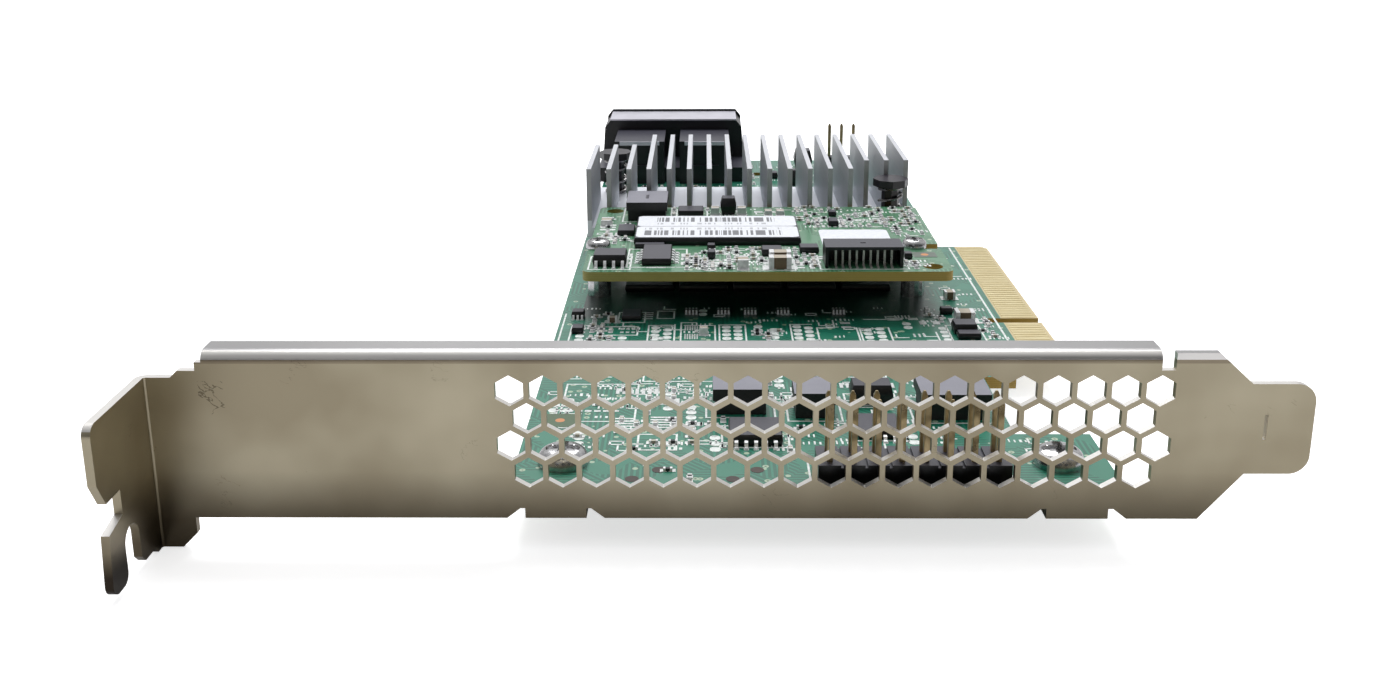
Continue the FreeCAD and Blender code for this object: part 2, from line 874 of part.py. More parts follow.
def port_centres():
    """The centre lines of the two ports, from the left side of the housing."""
    middle = d.port_wide / 2
    return (middle - d.port_pitch / 2, middle + d.port_pitch / 2)


def port_housing():
    """The black moulding of the double receptacle, with two mouths open to the rear."""
    body = new_body((port_left, port_front, board_top))
    wide, high, deep, flare = d.port_wide, d.port_high, d.port_deep, d.port_flare
    zero = size(0)
    for start, length, top in ((zero, deep, high), (deep, d.port_overhang, high + d.port_lip_high)):
        sketch = new_sketch(body, "XZ_Plane", -start)
        shoulder = top - d.port_shoulder_high
        inset = d.port_shoulder_wide
        points = [(-flare, zero), (wide + flare, zero), (wide, shoulder), (wide - inset, top)]
        outline(sketch, points + [(inset, top), (zero, shoulder)])
        pad(body, sketch, length, back=True)
    blocks = new_sketch(body, "XZ_Plane")
    for centre in port_centres():
        half = d.block_wide / 2
        rectangle(blocks, (centre - half, zero), (centre + half, d.block_high))
    pad(body, blocks, d.block_long)
    skirt = new_sketch(body, "XZ_Plane")
    rectangle(skirt, (-flare, zero), (wide + flare, d.skirt_high))
    pad(body, skirt, d.block_long - d.skirt_wall)
    latches = new_sketch(body, "XZ_Plane", d.block_long)
    for centre in port_centres():
        half = d.latch_wide / 2
        top_edge = d.block_high - d.latch_drop
        rectangle(latches, (centre - half, top_edge - d.latch_high), (centre + half, top_edge))
    pocket(body, latches, d.latch_deep)
    mouths = new_sketch(body, "XZ_Plane", -(deep + d.port_overhang))
    for centre in port_centres():
        half = d.mouth_wide / 2
        low = (centre - half, d.mouth_floor)
        rectangle(mouths, low, (centre + half, d.mouth_floor + d.mouth_high))
    pocket(body, mouths, d.mouth_deep, back=True)
    return node(body, "port_housing")


def port_cores():
    """The insulating core in each mouth, with two slots for the plug's cards."""
    cores = []
    back = d.card_long + d.port_overhang - d.mouth_deep
    middle = board_top + d.mouth_floor + d.mouth_high / 2
    slot_long = d.core_slot_deep
    for centre in port_centres():
        x = port_left + centre
        y = back + d.core_long / 2
        core = centred_box((d.core_wide, d.core_long, d.core_high), (x, y, middle - d.core_high / 2))
        slots = []
        for side in (-1, 1):
            level = middle + d.core_slot_pitch * (side / 2) - d.core_slot_high / 2
            at = (x, back + d.core_long - slot_long / 2, level)
            slots.append(centred_box((d.core_slot_wide, slot_long, d.core_slot_high), at))
        cores.append(cut(core, slots))
    node(group(cores), "port_cores")


def port_metalwork():
    """The shield plate on top of the receptacle and the clip on the back of each block."""
    wide = d.port_wide - 2 * d.port_shoulder_wide
    at = (port_left + d.port_shoulder_wide, port_front, board_top + d.port_high)
    node(box((wide, d.port_deep, d.clip_thick), at), "port_shield")
    clips = []
    for centre in port_centres():
        x = port_left + centre
        y = port_front - d.block_long - d.clip_thick / 2
        at = (x, y, board_top + d.block_high - d.clip_high)
        clips.append(centred_box((d.clip_wide, d.clip_thick, d.clip_high), at))
    node(group(clips), "port_clips")


# ---------------------------------------------------------------- daughter board


def module_board():
    """The daughter board with an open slot for its right-hand screw."""
    body = new_body((module_left, d.module_y, module_floor))
    wide, long = d.module_wide, d.module_long
    screw_x = wide - d.module_screw_inset_right
    screw_y = d.module_screw_y
    half = d.module_slot / 2
    zero = size(0)
    points = [(zero, zero), (wide, zero), (wide, screw_y - half), (screw_x, screw_y - half)]
    points += [(screw_x, screw_y + half), (wide, screw_y + half), (wide, long), (zero, long)]
    sketch = new_sketch(body, "XY_Plane")
    outline(sketch, points)
    pad(body, sketch, d.module_thick)
    corners = [(zero, zero), (wide, zero), (wide, long), (zero, long)]
    round_edges(body, corners, d.module_round, "z")
    holes = new_sketch(body, "XY_Plane")
    across = d.module_screw + d.module_screw_clearance
    circle(holes, (d.module_screw_inset_left, screw_y), across)
    circle(holes, (screw_x, screw_y), d.module_slot)
    inset = d.module_hole_inset
    circle(holes, (wide - inset, inset), d.module_hole)
    circle(holes, (inset, long - inset), d.module_hole)
    pocket(body, holes, d.module_thick, back=True)
    return node(body, "module_board")


def standoffs():
    """Two standoffs soldered to the main board and tapped for the module's screws."""
    pieces = []
    deep = d.module_gap / 2
    for x, y in module_screw_places:
        post = prism(SMALL_ROUND_SIDES, d.standoff, d.module_gap, (x, y, board_top))
        bore = prism(SMALL_ROUND_SIDES, d.module_screw, deep, (x, y, module_floor - deep))
        pieces.append(cut(post, [bore]))
    node(group(pieces), "standoffs")


def stacking_connector():
    """The socket on the main board and the plug under the daughter board."""
    x = module_left + d.stack_x + d.stack_long / 2
    y = d.module_y + d.stack_y + d.stack_wide / 2
    high = d.module_gap * d.stack_split
    hollow = (d.stack_long - 2 * d.stack_rim, d.stack_wide - 2 * d.stack_rim)
    deep = high * d.stack_well
    reach = deep * d.stack_reach
    shell = centred_box((d.stack_long, d.stack_wide, high), (x, y, board_top))
    well = centred_box((hollow[0], hollow[1], deep), (x, y, board_top + high - deep))
    node(cut(shell, [well]), "stacking_socket")
    body = centred_box((d.stack_long, d.stack_wide, d.module_gap - high), (x, y, board_top + high))
    ridge_size = (hollow[0] - d.stack_rim, hollow[1] - d.stack_rim, reach)
    ridge = centred_box(ridge_size, (x, y, board_top + high - reach))
    node(fuse([body, ridge]), "stacking_plug")


def power_receptacle():
    """The low side-entry receptacle for the cache power lead, with its row of contacts."""
    x = module_left + d.power_x
    y = d.module_y + d.power_y
    wall = d.power_wall
    pin = d.power_pin
    middle = x + d.power_wide / 2
    shell = box((d.power_wide, d.power_deep, d.power_high), (x, y, module_top))
    room = (d.power_wide - 2 * wall, d.power_deep - 2 * wall, d.power_high - wall)
    mouth = box(room, (x + wall, y, module_top))
    notch_at = (middle, y + d.power_deep / 2, module_top + room[2])
    notch = centred_box((d.power_notch, d.power_notch / 2, wall), notch_at)
    node(cut(shell, [mouth, notch]), "power_receptacle")
    pins = []
    for index in range(SIZES["power_pin_count"]):
        step = index - (SIZES["power_pin_count"] - 1) / 2
        pin_x = middle + d.power_pin_pitch * step
        pin_y = y + d.power_deep / 4
        post = centred_box((pin, pin, room[2]), (pin_x, pin_y, module_top))
        foot_long = d.power_deep / 4 + d.power_foot
        foot_at = (pin_x, y + (d.power_deep / 4 - d.power_foot) / 2, module_top)
        foot = centred_box((pin, foot_long, pin / 2), foot_at)
        pins.append(fuse([post, foot]))
    node(group(pins), "power_contacts")


# ---------------------------------------------------------------- headers


def pin_header(label, places, rows, high):
    """Square pins through a black strip grooved between them, with tails below the board."""
    pitch = d.header_pitch
    first_x, first_y = places[0]
    left = board_left + first_x - pitch / 2
    front = first_y - pitch / 2
    count = len(places) // rows
    extent = (pitch * count, pitch * rows, d.header_base_high)
    strip = box(extent, (left, front, board_top))
    tools = []
    pins = []
    for x, y in places:
        at = (board_left + x, y, -d.header_tail)
        long = high + d.board_thick + d.header_tail
        pins.append(centred_box((d.header_pin, d.header_pin, long), at))
        tools.append(centred_box((d.header_pin, d.header_pin, long), at))
    groove = d.header_groove
    groove_floor = board_top + d.header_base_high - groove
    for index in range(1, count):
        at = (left + pitch * index, front + extent[1] / 2, groove_floor)
        tools.append(centred_box((groove, extent[1], groove), at))
    node(cut(strip, tools), label + "_strip")
    node(group(pins), label + "_pins")


# ---------------------------------------------------------------- chips and small parts


def leaded_chip(extent, at, pitch, count):
    """A moulded chip with bent leads along its front and back."""
    wide, long, high = (size(value) for value in extent)
    x, y, z = (size(value) for value in at)
    body_long = long - 2 * d.lead_foot
    pieces = [centred_box((wide, body_long, high - d.lead_thick / 2), (x, y, z + d.lead_thick / 2))]
    for index in range(count):
        step = size(pitch) * (index - (count - 1) / 2)
        for side in (-1, 1):
            foot_y = y + (long - d.lead_foot) * (side / 2)
            rise_y = y + (long - d.lead_foot * 2 + d.lead_thick * 2) * (side / 2)
            pieces.append(centred_box((d.lead, d.lead_foot, d.lead_thick), (x + step, foot_y, z)))
            pieces.append(centred_box((d.lead, d.lead_thick * 3, high / 2), (x + step, rise_y, z)))
    return fuse(pieces)


def loose_parts(label, places, corner):
    """Separate blocks, each given as its centre from a board's corner and its three sizes."""
    pieces = []
    for x, y, wide, long, high in places:
        at = (corner[0] + x, corner[1] + y, corner[2])
        pieces.append(centred_box((wide, long, high), at))
    node(group(pieces), label)


def memory_chips():
    """A row of memory chips on the main board below the daughter board."""
    chips = []
    for index in range(SIZES["memory_count"]):
        x = module_left + d.memory_x + d.memory_pitch * index
        extent = (d.memory_wide, d.memory_long, d.memory_high)
        chips.append(box(extent, (x, d.module_y + d.memory_y, board_top)))
    node(group(chips), "memory_chips")


def flash_package():
    """The flash package and the two paper labels stuck along its top."""
    x = module_left + d.flash_x
    y = d.module_y + d.flash_y
    node(box((d.flash_wide, d.flash_long, d.flash_high), (x, y, module_top)), "flash_package")
    top = module_top + d.flash_high
    margin = d.label_margin
    extent = (d.flash_wide - 2 * margin, d.label_long, d.label_thick)
    node(box(extent, (x + margin, y + margin, top)), "label_front")
    rear = y + d.flash_long - margin - d.label_long
    node(box(extent, (x + margin, rear, top)), "label_rear")


def side_leaded_chip(extent, at, pitch, count):
    """A moulded chip with bent leads along its left and right sides."""
    wide, long, high = (size(value) for value in extent)
    x, y, z = (size(value) for value in at)
    body_wide = wide - 2 * d.lead_foot
    pieces = [centred_box((body_wide, long, high - d.lead_thick / 2), (x, y, z + d.lead_thick / 2))]
    for index in range(count):
        step = size(pitch) * (index - (count - 1) / 2)
        for side in (-1, 1):
            foot_x = x + (wide - d.lead_foot) * (side / 2)
            pieces.append(centred_box((d.lead_foot, d.lead, d.lead_thick), (foot_x, y + step, z)))
    return fuse(pieces)


def moulded_inductor(extent, at):
    """A moulded power inductor, drawn in below its square top."""
    wide, long, high = (size(value) for value in extent)
    x, y, z = at
    cap_high = high * d.inductor_cap
    waist = 1 - d.inductor_waist
    lower = centred_box((wide * waist, long * waist, high - cap_high), (x, y, z))
    upper = centred_box((wide, long, cap_high), (x, y, size(z) + high - cap_high))
    return fuse([lower, upper])


def module_parts():
    """What is soldered to the top of the daughter board."""
    x, y, z = module_corner
    soic = leaded_chip((4.9, 6.0, 1.75), (x + 3.75, y + 4.6, z), d.soic_pitch, 4)
    node(soic, "memory_controller")
    at = (x + 10.5, y + 7.1, z)
    node(side_leaded_chip((6.2, 8.0, 1.05), at, d.soic_pitch, 5), "power_chip")
    node(moulded_inductor((6.6, 8.2, 3.1), (x + 8.1, y + 32.9, z)), "power_inductor")
    chips = (
        (5.2, 21.6, 2.7, 4.1, 0.9),
        (9.2, 12.9, 4.5, 1.2, 0.7),
        (15.2, 34.0, 4.2, 3.6, 0.85),
        (21.4, 33.9, 2.6, 2.7, 2.8),
        (27.4, 9.2, 3.1, 2.6, 1.05),
        (33.0, 10.6, 2.9, 2.4, 0.95),
        (18.45, 7.4, 1.2, 2.0, 1.1),
        (18.45, 12.3, 1.25, 1.5, 0.75),
        (38.0, 26.4, 1.6, 2.6, 0.9),
        (38.4, 32.4, 1.3, 1.8, 0.8),
        (47.2, 7.0, 1.2, 1.6, 0.9),
    )
    loose_parts("module_chips", chips, module_corner)
    capacitors = (
        (28.25, 2.1, 3.2, 1.8, 1.7),
        (28.4, 4.9, 3.2, 1.8, 1.7),
        (22.95, 2.4, 1.55, 2.4, 1.35),
        (1.75, 26.7, 1.7, 2.2, 0.9),
        (19.2, 33.3, 1.4, 1.7, 1.2),
        (23.6, 33.3, 1.4, 1.7, 1.2),
        (27.95, 33.2, 1.2, 1.6, 0.7),
        (29.9, 33.2, 1.3, 1.6, 0.7),
    )
    loose_parts("module_capacitors", capacitors, module_corner)
    label = (d.side_label_x, d.side_label_y, d.side_label, d.side_label, d.label_thick)
    loose_parts("label_side", (label,), module_corner)


def board_parts():
    """What is soldered to the main board in front of, beside and behind the modules."""
    networks = tuple((x, 60.9, 2.0, 1.2, 0.5) for x in (18.9, 23.6, 27.5, 32.3, 40.4))
    loose_parts("resistor_networks", networks, main_corner)
    node(leaded_chip((1.9, 2.8, 1.1), (board_left + 2.5, 58.8, board_top), 0.6, 3), "reset_chip")
    drivers = []
    for x, y, wide, long, high, count in ((26.6, 15.6, 6.1, 7.4, 1.35, 5), (40.8, 17.4, 5.0, 7.2, 1.1, 4)):
        extent = (wide, long, high)
        at = (board_left + x, y, board_top)
        drivers.append(leaded_chip(extent, at, size(wide) / (count + 0.5), count))
    node(group(drivers), "line_drivers")
    inductors = []
    for x, y, wide, long, high in (
        (25.1, 25.2, 6.6, 6.6, 3.3),
        (33.9, 23.6, 5.0, 5.6, 3.2),
        (50.4, 23.6, 8.2, 6.8, 3.3),
    ):
        at = (board_left + x, y, board_top)
        inductors.append(moulded_inductor((wide, long, high), at))
    node(group(inductors), "board_inductors")
    chips = (
        (3.0, 52.3, 1.7, 2.0, 0.9),
        (10.3, 58.6, 2.8, 3.4, 0.8),
        (41.1, 26.6, 5.1, 3.2, 2.5),
        (56.0, 60.3, 1.8, 1.3, 1.0),
    )
    loose_parts("board_chips", chips, main_corner)
    power = ((57.35, 49.7, 3.2, 1.9, 0.9), (57.2, 52.4, 3.3, 2.8, 1.45))
    loose_parts("power_transistors", power, main_corner)
    capacitors = (
        (58.0, 56.8, 2.7, 2.2, 1.6),
        (57.7, 67.5, 1.6, 1.6, 1.2),
        (7.6, 56.6, 1.4, 1.0, 0.8),
        (20.7, 51.4, 1.2, 1.2, 1.0),
    )
    loose_parts("board_capacitors", capacitors, main_corner)
    rear = (
        (35.3, -17.4, 1.7, 2.4, 1.3),
        (39.1, -23.9, 2.2, 2.4, 3.2),
        (42.0, -7.9, 3.8, 4.0, 4.1),
    )
    loose_parts("rear_chips", rear, rear_corner)


# ---------------------------------------------------------------- build

bracket()
main_board()
edge_contacts()
screws()
heat_sink()
controller_chip()
for (pin_x, pin_y), name in zip(pin_places, ("front", "rear")):
    push_pin(pin_x, pin_y, "push_pin_" + name)
    pin_spring(pin_x, pin_y, "pin_spring_" + name)
port_housing()
port_cores()
port_metalwork()
module_board()
standoffs()
stacking_connector()
power_receptacle()
pin_header("header", header_places(), SIZES["header_rows"], d.header_pin_high)
pin_header("rear_header", rear_header_places(), 1, d.aux_pin_high)
memory_chips()
flash_package()
module_parts()
board_parts()
document.recompute()

for thing in document.Objects:
    if "Invalid" in thing.State or "Error" in thing.State:
        raise ValueError("%s (%s) did not build" % (thing.Name, thing.Label))
for thing in parts:
    if thing.Shape.isNull() or not thing.Shape.isValid():
        raise ValueError("%s has no valid shape" % thing.Label)

os.makedirs("parts", exist_ok=True)
for thing in parts:
    thing.Shape.exportStep("parts/%s.step" % thing.Label)
    print("%-20s %3d solids %10.2f mm3" % (thing.Label, len(thing.Shape.Solids), thing.Shape.Volume))
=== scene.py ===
# %% [markdown]
# # A storage controller card
#
# The card is a long green circuit board behind a folded steel bracket. A second, smaller board
# stands on it in front of a finned heat sink, and a double cable receptacle closes the rear.
# The packed model gives the true shape and place of every part. This lesson dresses it: it
# writes the finishes as shader maths, and it works out the fine pieces as surfaces with numpy.

# %% Load the packed model
import math
from functools import partialmethod

import bpy
import numpy as np
from mathutils import Matrix, Vector


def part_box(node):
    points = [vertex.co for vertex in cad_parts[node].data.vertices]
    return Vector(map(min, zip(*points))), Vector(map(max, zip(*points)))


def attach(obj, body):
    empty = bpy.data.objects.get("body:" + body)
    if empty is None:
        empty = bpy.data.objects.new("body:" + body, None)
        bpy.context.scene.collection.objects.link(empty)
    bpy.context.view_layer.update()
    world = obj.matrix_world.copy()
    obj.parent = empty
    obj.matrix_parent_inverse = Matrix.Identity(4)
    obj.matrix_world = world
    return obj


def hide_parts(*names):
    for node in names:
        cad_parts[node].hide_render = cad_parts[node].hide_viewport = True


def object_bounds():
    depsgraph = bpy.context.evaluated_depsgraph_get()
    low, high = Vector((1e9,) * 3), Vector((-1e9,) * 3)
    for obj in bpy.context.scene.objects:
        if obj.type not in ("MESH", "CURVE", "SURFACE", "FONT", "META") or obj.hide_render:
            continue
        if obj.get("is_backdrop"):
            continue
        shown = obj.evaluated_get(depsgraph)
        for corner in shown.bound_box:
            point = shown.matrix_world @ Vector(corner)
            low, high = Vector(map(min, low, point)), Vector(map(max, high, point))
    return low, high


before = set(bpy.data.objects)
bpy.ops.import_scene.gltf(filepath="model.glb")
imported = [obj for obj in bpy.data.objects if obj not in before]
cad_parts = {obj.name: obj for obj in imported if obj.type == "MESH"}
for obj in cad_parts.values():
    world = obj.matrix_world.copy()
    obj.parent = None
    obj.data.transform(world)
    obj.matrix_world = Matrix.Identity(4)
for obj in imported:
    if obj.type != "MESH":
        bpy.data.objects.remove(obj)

low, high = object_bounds()
MM = 0.001
print("nodes:", len(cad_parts), "size in mm:", [round((b - a) / MM, 2) for a, b in zip(low, high)])

# %% [markdown]
# ## The view
#
# The camera looks along the card from a little above the bracket. Its facing is built from three
# small turns, and a lens shift then slides the whole card into the frame.

# %% Camera
LENS, SENSOR = 35.372, 36.0
CAMERA_AT = (-48.124, -130.734, 65.05)
PITCH, YAW, ROLL = 0.272055, -0.016923, -0.006211
SHIFT_X, SHIFT_Y = 0.0131, -0.0738
NEAREST, FARTHEST = 0.005, 20


def turn(angle, axis):
    """The rotation of an angle about the camera's own axis 0, 1 or 2 (right, down, forward)."""
    cosine, sine = math.cos(angle), math.sin(angle)
    first, second = [index for index in range(3) if index != axis]
    matrix = np.eye(3)
    matrix[first, first] = matrix[second, second] = cosine
    matrix[first, second], matrix[second, first] = -sine, sine
    return matrix


def put(name, data):
    """A new object in the scene: a camera, a mesh or a lamp."""
    thing = bpy.data.objects.new(name, data)
    bpy.context.collection.objects.link(thing)
    return thing


level_view = np.array([[1, 0, 0], [0, 0, -1], [0, 1, 0]])
rows = turn(ROLL, 2) @ turn(PITCH, 0) @ turn(YAW, 1) @ level_view
lens = bpy.data.cameras.new("view")
lens.lens, lens.sensor_width = LENS, SENSOR
lens.shift_x, lens.shift_y = SHIFT_X, SHIFT_Y
lens.clip_start, lens.clip_end = NEAREST, FARTHEST
camera = put("view", lens)
facing = Matrix(np.column_stack([rows[0], -rows[1], -rows[2]]).tolist())
camera.matrix_world = Matrix.Translation(Vector(CAMERA_AT) * MM) @ facing.to_4x4()
bpy.context.scene.camera = camera
print("camera at", [round(value, 4) for value in camera.location])

# %% [markdown]
# ## Writing finishes as arithmetic
#
# A shader is a net of nodes, and most of them do sums. Wrapping a socket in a small class lets
# the sums be written as sums: each operator adds its Math node and wires it up. The operators
# are one method, each with its own operation filled in.

# %% Values on wires
class Wire:
    """A value on a wire of a material. Arithmetic on it adds Math nodes."""

    def __init__(self, finish, socket):
        self.finish, self.socket = finish, socket

    def math(self, operation, *others):
        values = {0: self, **dict(enumerate(others, start=1))}
        return self.finish.node("ShaderNodeMath", {"operation": operation}, values)

    __add__ = __radd__ = partialmethod(math, "ADD")
    __mul__ = __rmul__ = partialmethod(math, "MULTIPLY")
    __sub__ = partialmethod(math, "SUBTRACT")
    __truediv__ = partialmethod(math, "DIVIDE")
    __gt__ = partialmethod(math, "GREATER_THAN")
    __lt__ = partialmethod(math, "LESS_THAN")
    __abs__ = partialmethod(math, "ABSOLUTE")

    def __rsub__(self, other):
        return self * -1 + other

    def repeats(self, pitch):
        """The place within each repeat: the fraction of value / pitch, from 0 to 1."""
        return (self / pitch).math("FRACT")

    def step(self, pitch):
        """The number of the repeat: value / pitch rounded down."""
        return (self / pitch).math("FLOOR")

    def held(self):
        """The value kept between 0 and 1."""
        return self.math("MINIMUM", 1).math("MAXIMUM", 0)

    def ramp(self, start, stop):
        """0 at start, 1 at stop and a straight line between them."""
        return ((self - start) / (stop - start)).held()


print("a wire can be:", [name for name in vars(Wire) if not name.startswith("_")])

# %% [markdown]
# ## One class for all finishes
#
# Each finish is one Principled shader with its own patterns. Colours are given as a paint chart
# does, from 0 to 255, and turned to linear light. They never pass through a Math node, which
# would turn them grey, but through a Mix node.

# %% Finishes
def paint(colour):
    """A colour given as red, green and blue from 0 to 255, turned to the linear light of a shader."""
    part = np.array(colour) / 255
    linear = np.where(part <= 0.04045, part / 12.92, ((part + 0.055) / 1.055) ** 2.4)
    return (*linear.tolist(), 1.0)


class Finish:
    """A material built on one Principled shader."""

    def __init__(self, name, base, roughness, metallic=0.0):
        self.material = bpy.data.materials.new(name)
        self.material.use_nodes = True
        self.tree = self.material.node_tree
        self.shader = self.tree.nodes["Principled BSDF"]
        self.feed("Base Color", paint(base))
        self.feed("Roughness", roughness)
        self.feed("Metallic", metallic)

    def feed(self, socket, value, node=None):
        """Set a socket of a node, or wire a value into it."""
        target = (node or self.shader).inputs[socket]
        if isinstance(value, Wire):
            self.tree.links.new(value.socket, target)
        else:
            target.default_value = value

    def node(self, kind, settings, inputs, output=0):
        """Add a node with its settings, then its inputs, and give one output."""
        node = self.tree.nodes.new(kind)
        for key, value in settings.items():
            setattr(node, key, value)
        for socket, value in inputs.items():
            self.feed(socket, value, node)
        return Wire(self, node.outputs[output])

    def place(self, output="Object"):
        """X, Y and Z of the point in millimetres, or of its normal."""
        source = self.node("ShaderNodeTexCoord", {}, {}, output)
        scale = 1 / MM if output == "Object" else 1
        parts = [self.node("ShaderNodeSeparateXYZ", {}, {0: source}, axis) for axis in range(3)]
        return [part * scale for part in parts]

    def point(self, x, y, z=0.0):
        """A vector from three values."""
        return self.node("ShaderNodeCombineXYZ", {}, {0: x, 1: y, 2: z})

    def noise(self, vector, scale, detail):
        """Soft noise from 0 to 1, one grain to each 1 / scale of the vector."""
        inputs = {"Vector": vector, "Scale": scale, "Detail": detail}
        return self.node("ShaderNodeTexNoise", {}, inputs, "Fac")

    def chance(self, value):
        """A different fixed random number for each value."""
        return self.node("ShaderNodeTexWhiteNoise", {"noise_dimensions": "1D"}, {"W": value}, "Value")

    def cells(self, vector, scale):
        """The distance to the nearest of many scattered points."""
        return self.node("ShaderNodeTexVoronoi", {}, {"Vector": vector, "Scale": scale}, "Distance")

    def mix(self, mask, first, second):
        """The first colour where the mask is 0 and the second where it is 1."""
        first, second = (paint(side) if isinstance(side, tuple) else side for side in (first, second))
        return self.node("ShaderNodeMix", {"data_type": "RGBA"}, {0: mask, 6: first, 7: second}, 2)

    def over(self, colour, *layers):
        """Lay more colours over a first one in turn, each through its own mask."""
        for mask, added in layers:
            colour = self.mix(mask, colour, added)
        return colour

    def bump(self, height, strength, distance):
        """Tilt the surface's normals by a height, in millimetres of distance."""
        inputs = {"Height": height, "Strength": strength, "Distance": distance * MM}
        self.feed("Normal", self.node("ShaderNodeBump", {}, inputs))


print("shader words:", [name for name in vars(Finish) if not name.startswith("_")])

# %% [markdown]
# ## Nickel-plated steel
#
# The bracket is cold-rolled steel under a thin nickel plating. It is satin rather than bright, a
# little warm, clouded by handling and marked by a few short scuffs. It mirrors what lies round
# it, and that is painted into its colour: painted shade darkens it towards its far end, its feet
# and its claw, a thin line of painted shade lies at the hem, a painted highlight lies on the fold
# at the top where it catches the lamp, and painted shade tones down the flat top of the flange.
# Masks of place and facing lay each of these tones over the plating in turn.

# %% Nickel plate
SCUFFED_X, SCUFFED_Z = -98.6, 12.6
HEM_LOW, HEM_HIGH, FLAT_LOW, CLAW_FRONT = 16.3, 16.7, 17.0, -6.0
nickel = Finish("nickel_plate", (158, 150, 136), 0.34, 1.0)
x, y, z = nickel.place()
up = nickel.place("Normal")[2]
spot = nickel.point(x, y, z)
cloud = nickel.noise(spot, 0.05, 3.0)
grain = nickel.noise(nickel.point(x * 0.35, y, z * 3.0), 3.0, 3.0)
scuff_line = abs(nickel.noise(nickel.point(x * 0.9 + z * 0.8, y, z), 0.55, 4.0) - 0.5)
scuff_patch = (abs(x - SCUFFED_X) < 1.3) * (abs(z - SCUFFED_Z) < 1.8)
scuff_spot = (nickel.noise(spot, 0.23, 1.0) > 0.68) * 0.5
scuff = (scuff_line < 0.005) * scuff_spot + (scuff_line < 0.010) * scuff_patch
# Painted shade: darker towards the far end, the feet and the claw, where the metal would mirror shade.
painted_end_shade, foot = x.ramp(-94.0, -103.0) * 0.12, z.ramp(4.4, -1.2) * 0.72
painted_claw_shade = (y < CLAW_FRONT) * z.ramp(1.2, -1.4) * 0.8
# Painted shade: a thin dark line at the hem, under the fold.
painted_hem_shade = (z > HEM_LOW) * (z < HEM_HIGH) * (y < 0.4) * 0.4
# Painted highlight: the fold at the top, where it catches the lamp.
painted_fold_highlight = ((up > 0.55) + (z > HEM_HIGH)).held() * 0.9
# Painted shade: the flat top of the flange is toned down against the lamp's reflection.
painted_top_shade = (up > 0.93) * (z > FLAT_LOW)
plating = nickel.mix(cloud.ramp(0.38, 0.62), (158, 148, 125), (187, 178, 154))
# The painted shade and highlight lie over the plating here; only the scuffs are real wear.
nickel.feed("Base Color", nickel.over(
    plating, ((painted_end_shade + foot).held(), (78, 68, 54)), (painted_claw_shade, (30, 25, 24)), (painted_hem_shade, (90, 70, 60)),
    ((scuff * 0.6).held(), (74, 66, 56)), (painted_fold_highlight, (238, 236, 234)), (painted_top_shade, (166, 165, 166))))
nickel.feed("Roughness", 0.26 + cloud * 0.14 + grain * 0.05)
nickel.bump(grain, 0.10, 0.02)
print("bracket finish:", nickel.material.name)

# %% [markdown]
# ## Small metal parts, gold and aluminium
#
# Screws, springs, leads and clips differ only in colour and gloss, so one function makes them
# all. The contacts are gold over nickel. The heat sink is plain extruded aluminium with fine
# lines along the extrusion. Its fin sides carry painted shade towards their roots, between the
# fins. Its sawn ends are greyer, partly the duller cut metal and partly painted shade on faces
# turned from the lamp. Its upward faces, most of all the floor between its fins, and the front of
# its base are painted paler: a painted highlight.

# %% Zinc, tin, brass, gold and aluminium
def plated(name, colour, roughness, scale, deepest=0.78, metallic=1.0):
    """A small bright metal part: its colour and gloss vary with a fine noise."""
    finish = Finish(name, colour, roughness, metallic)
    speck = finish.noise(finish.point(*finish.place()), scale, 3.0)
    darker = tuple(deepest * value for value in colour)
    finish.feed("Base Color", finish.mix(speck.ramp(0.3, 0.7), darker, colour))
    finish.feed("Roughness", roughness - 0.08 + speck * 0.16)
    finish.bump(speck, 0.08, 0.02)
    return finish


zinc = plated("zinc_plate", (206, 206, 208), 0.22, 1.6)
tin = plated("tin_plate", (244, 245, 248), 0.34, 2.4, 0.9, 0.3)
solder = plated("solder", (240, 243, 243), 0.30, 3.1, 0.88, 0.3)
spring_wire = plated("spring_wire", (150, 148, 148), 0.26, 1.2)
contact_steel = plated("contact_steel", (206, 204, 200), 0.3, 1.2, 0.85, 0.5)
pin_brass = plated("pin_brass", (190, 170, 128), 0.30, 0.8, 0.78, 0.6)
shell_steel = plated("shell_steel", (206, 205, 216), 0.34, 0.5, 0.95, 0.25)

gold = Finish("contact_gold", (222, 206, 160), 0.34, 1.0)
x, y, _ = gold.place()
wear = gold.noise(gold.point(x * 0.3, y * 2.0), 0.8, 2.0)
gold.feed("Base Color", gold.mix(wear.ramp(0.3, 0.7), (219, 203, 155), (230, 219, 180)))
gold.feed("Roughness", 0.30 + wear * 0.10)
gold.bump(wear, 0.05, 0.02)

FIN_FOOT, DECK = 6.6, 12.0
aluminium = Finish("extruded_aluminium", (182, 184, 188), 0.42, 0.6)
x, y, z = aluminium.place()
facing = aluminium.place("Normal")
drawn = aluminium.noise(aluminium.point(x * 3.0, y * 0.05, z * 5.0), 1.3, 4.0)
stain = aluminium.noise(aluminium.point(x, y, z), 0.16, 2.0)
sawn, top, fin_foot, deck = facing[1] < -0.7, facing[2] > 0.6, z < FIN_FOOT, z < DECK
# Painted shade: the fin sides are darker towards their roots, between the fins.
side = aluminium.mix(z.ramp(5.6, 14.2), (192, 198, 204), (204, 206, 208))
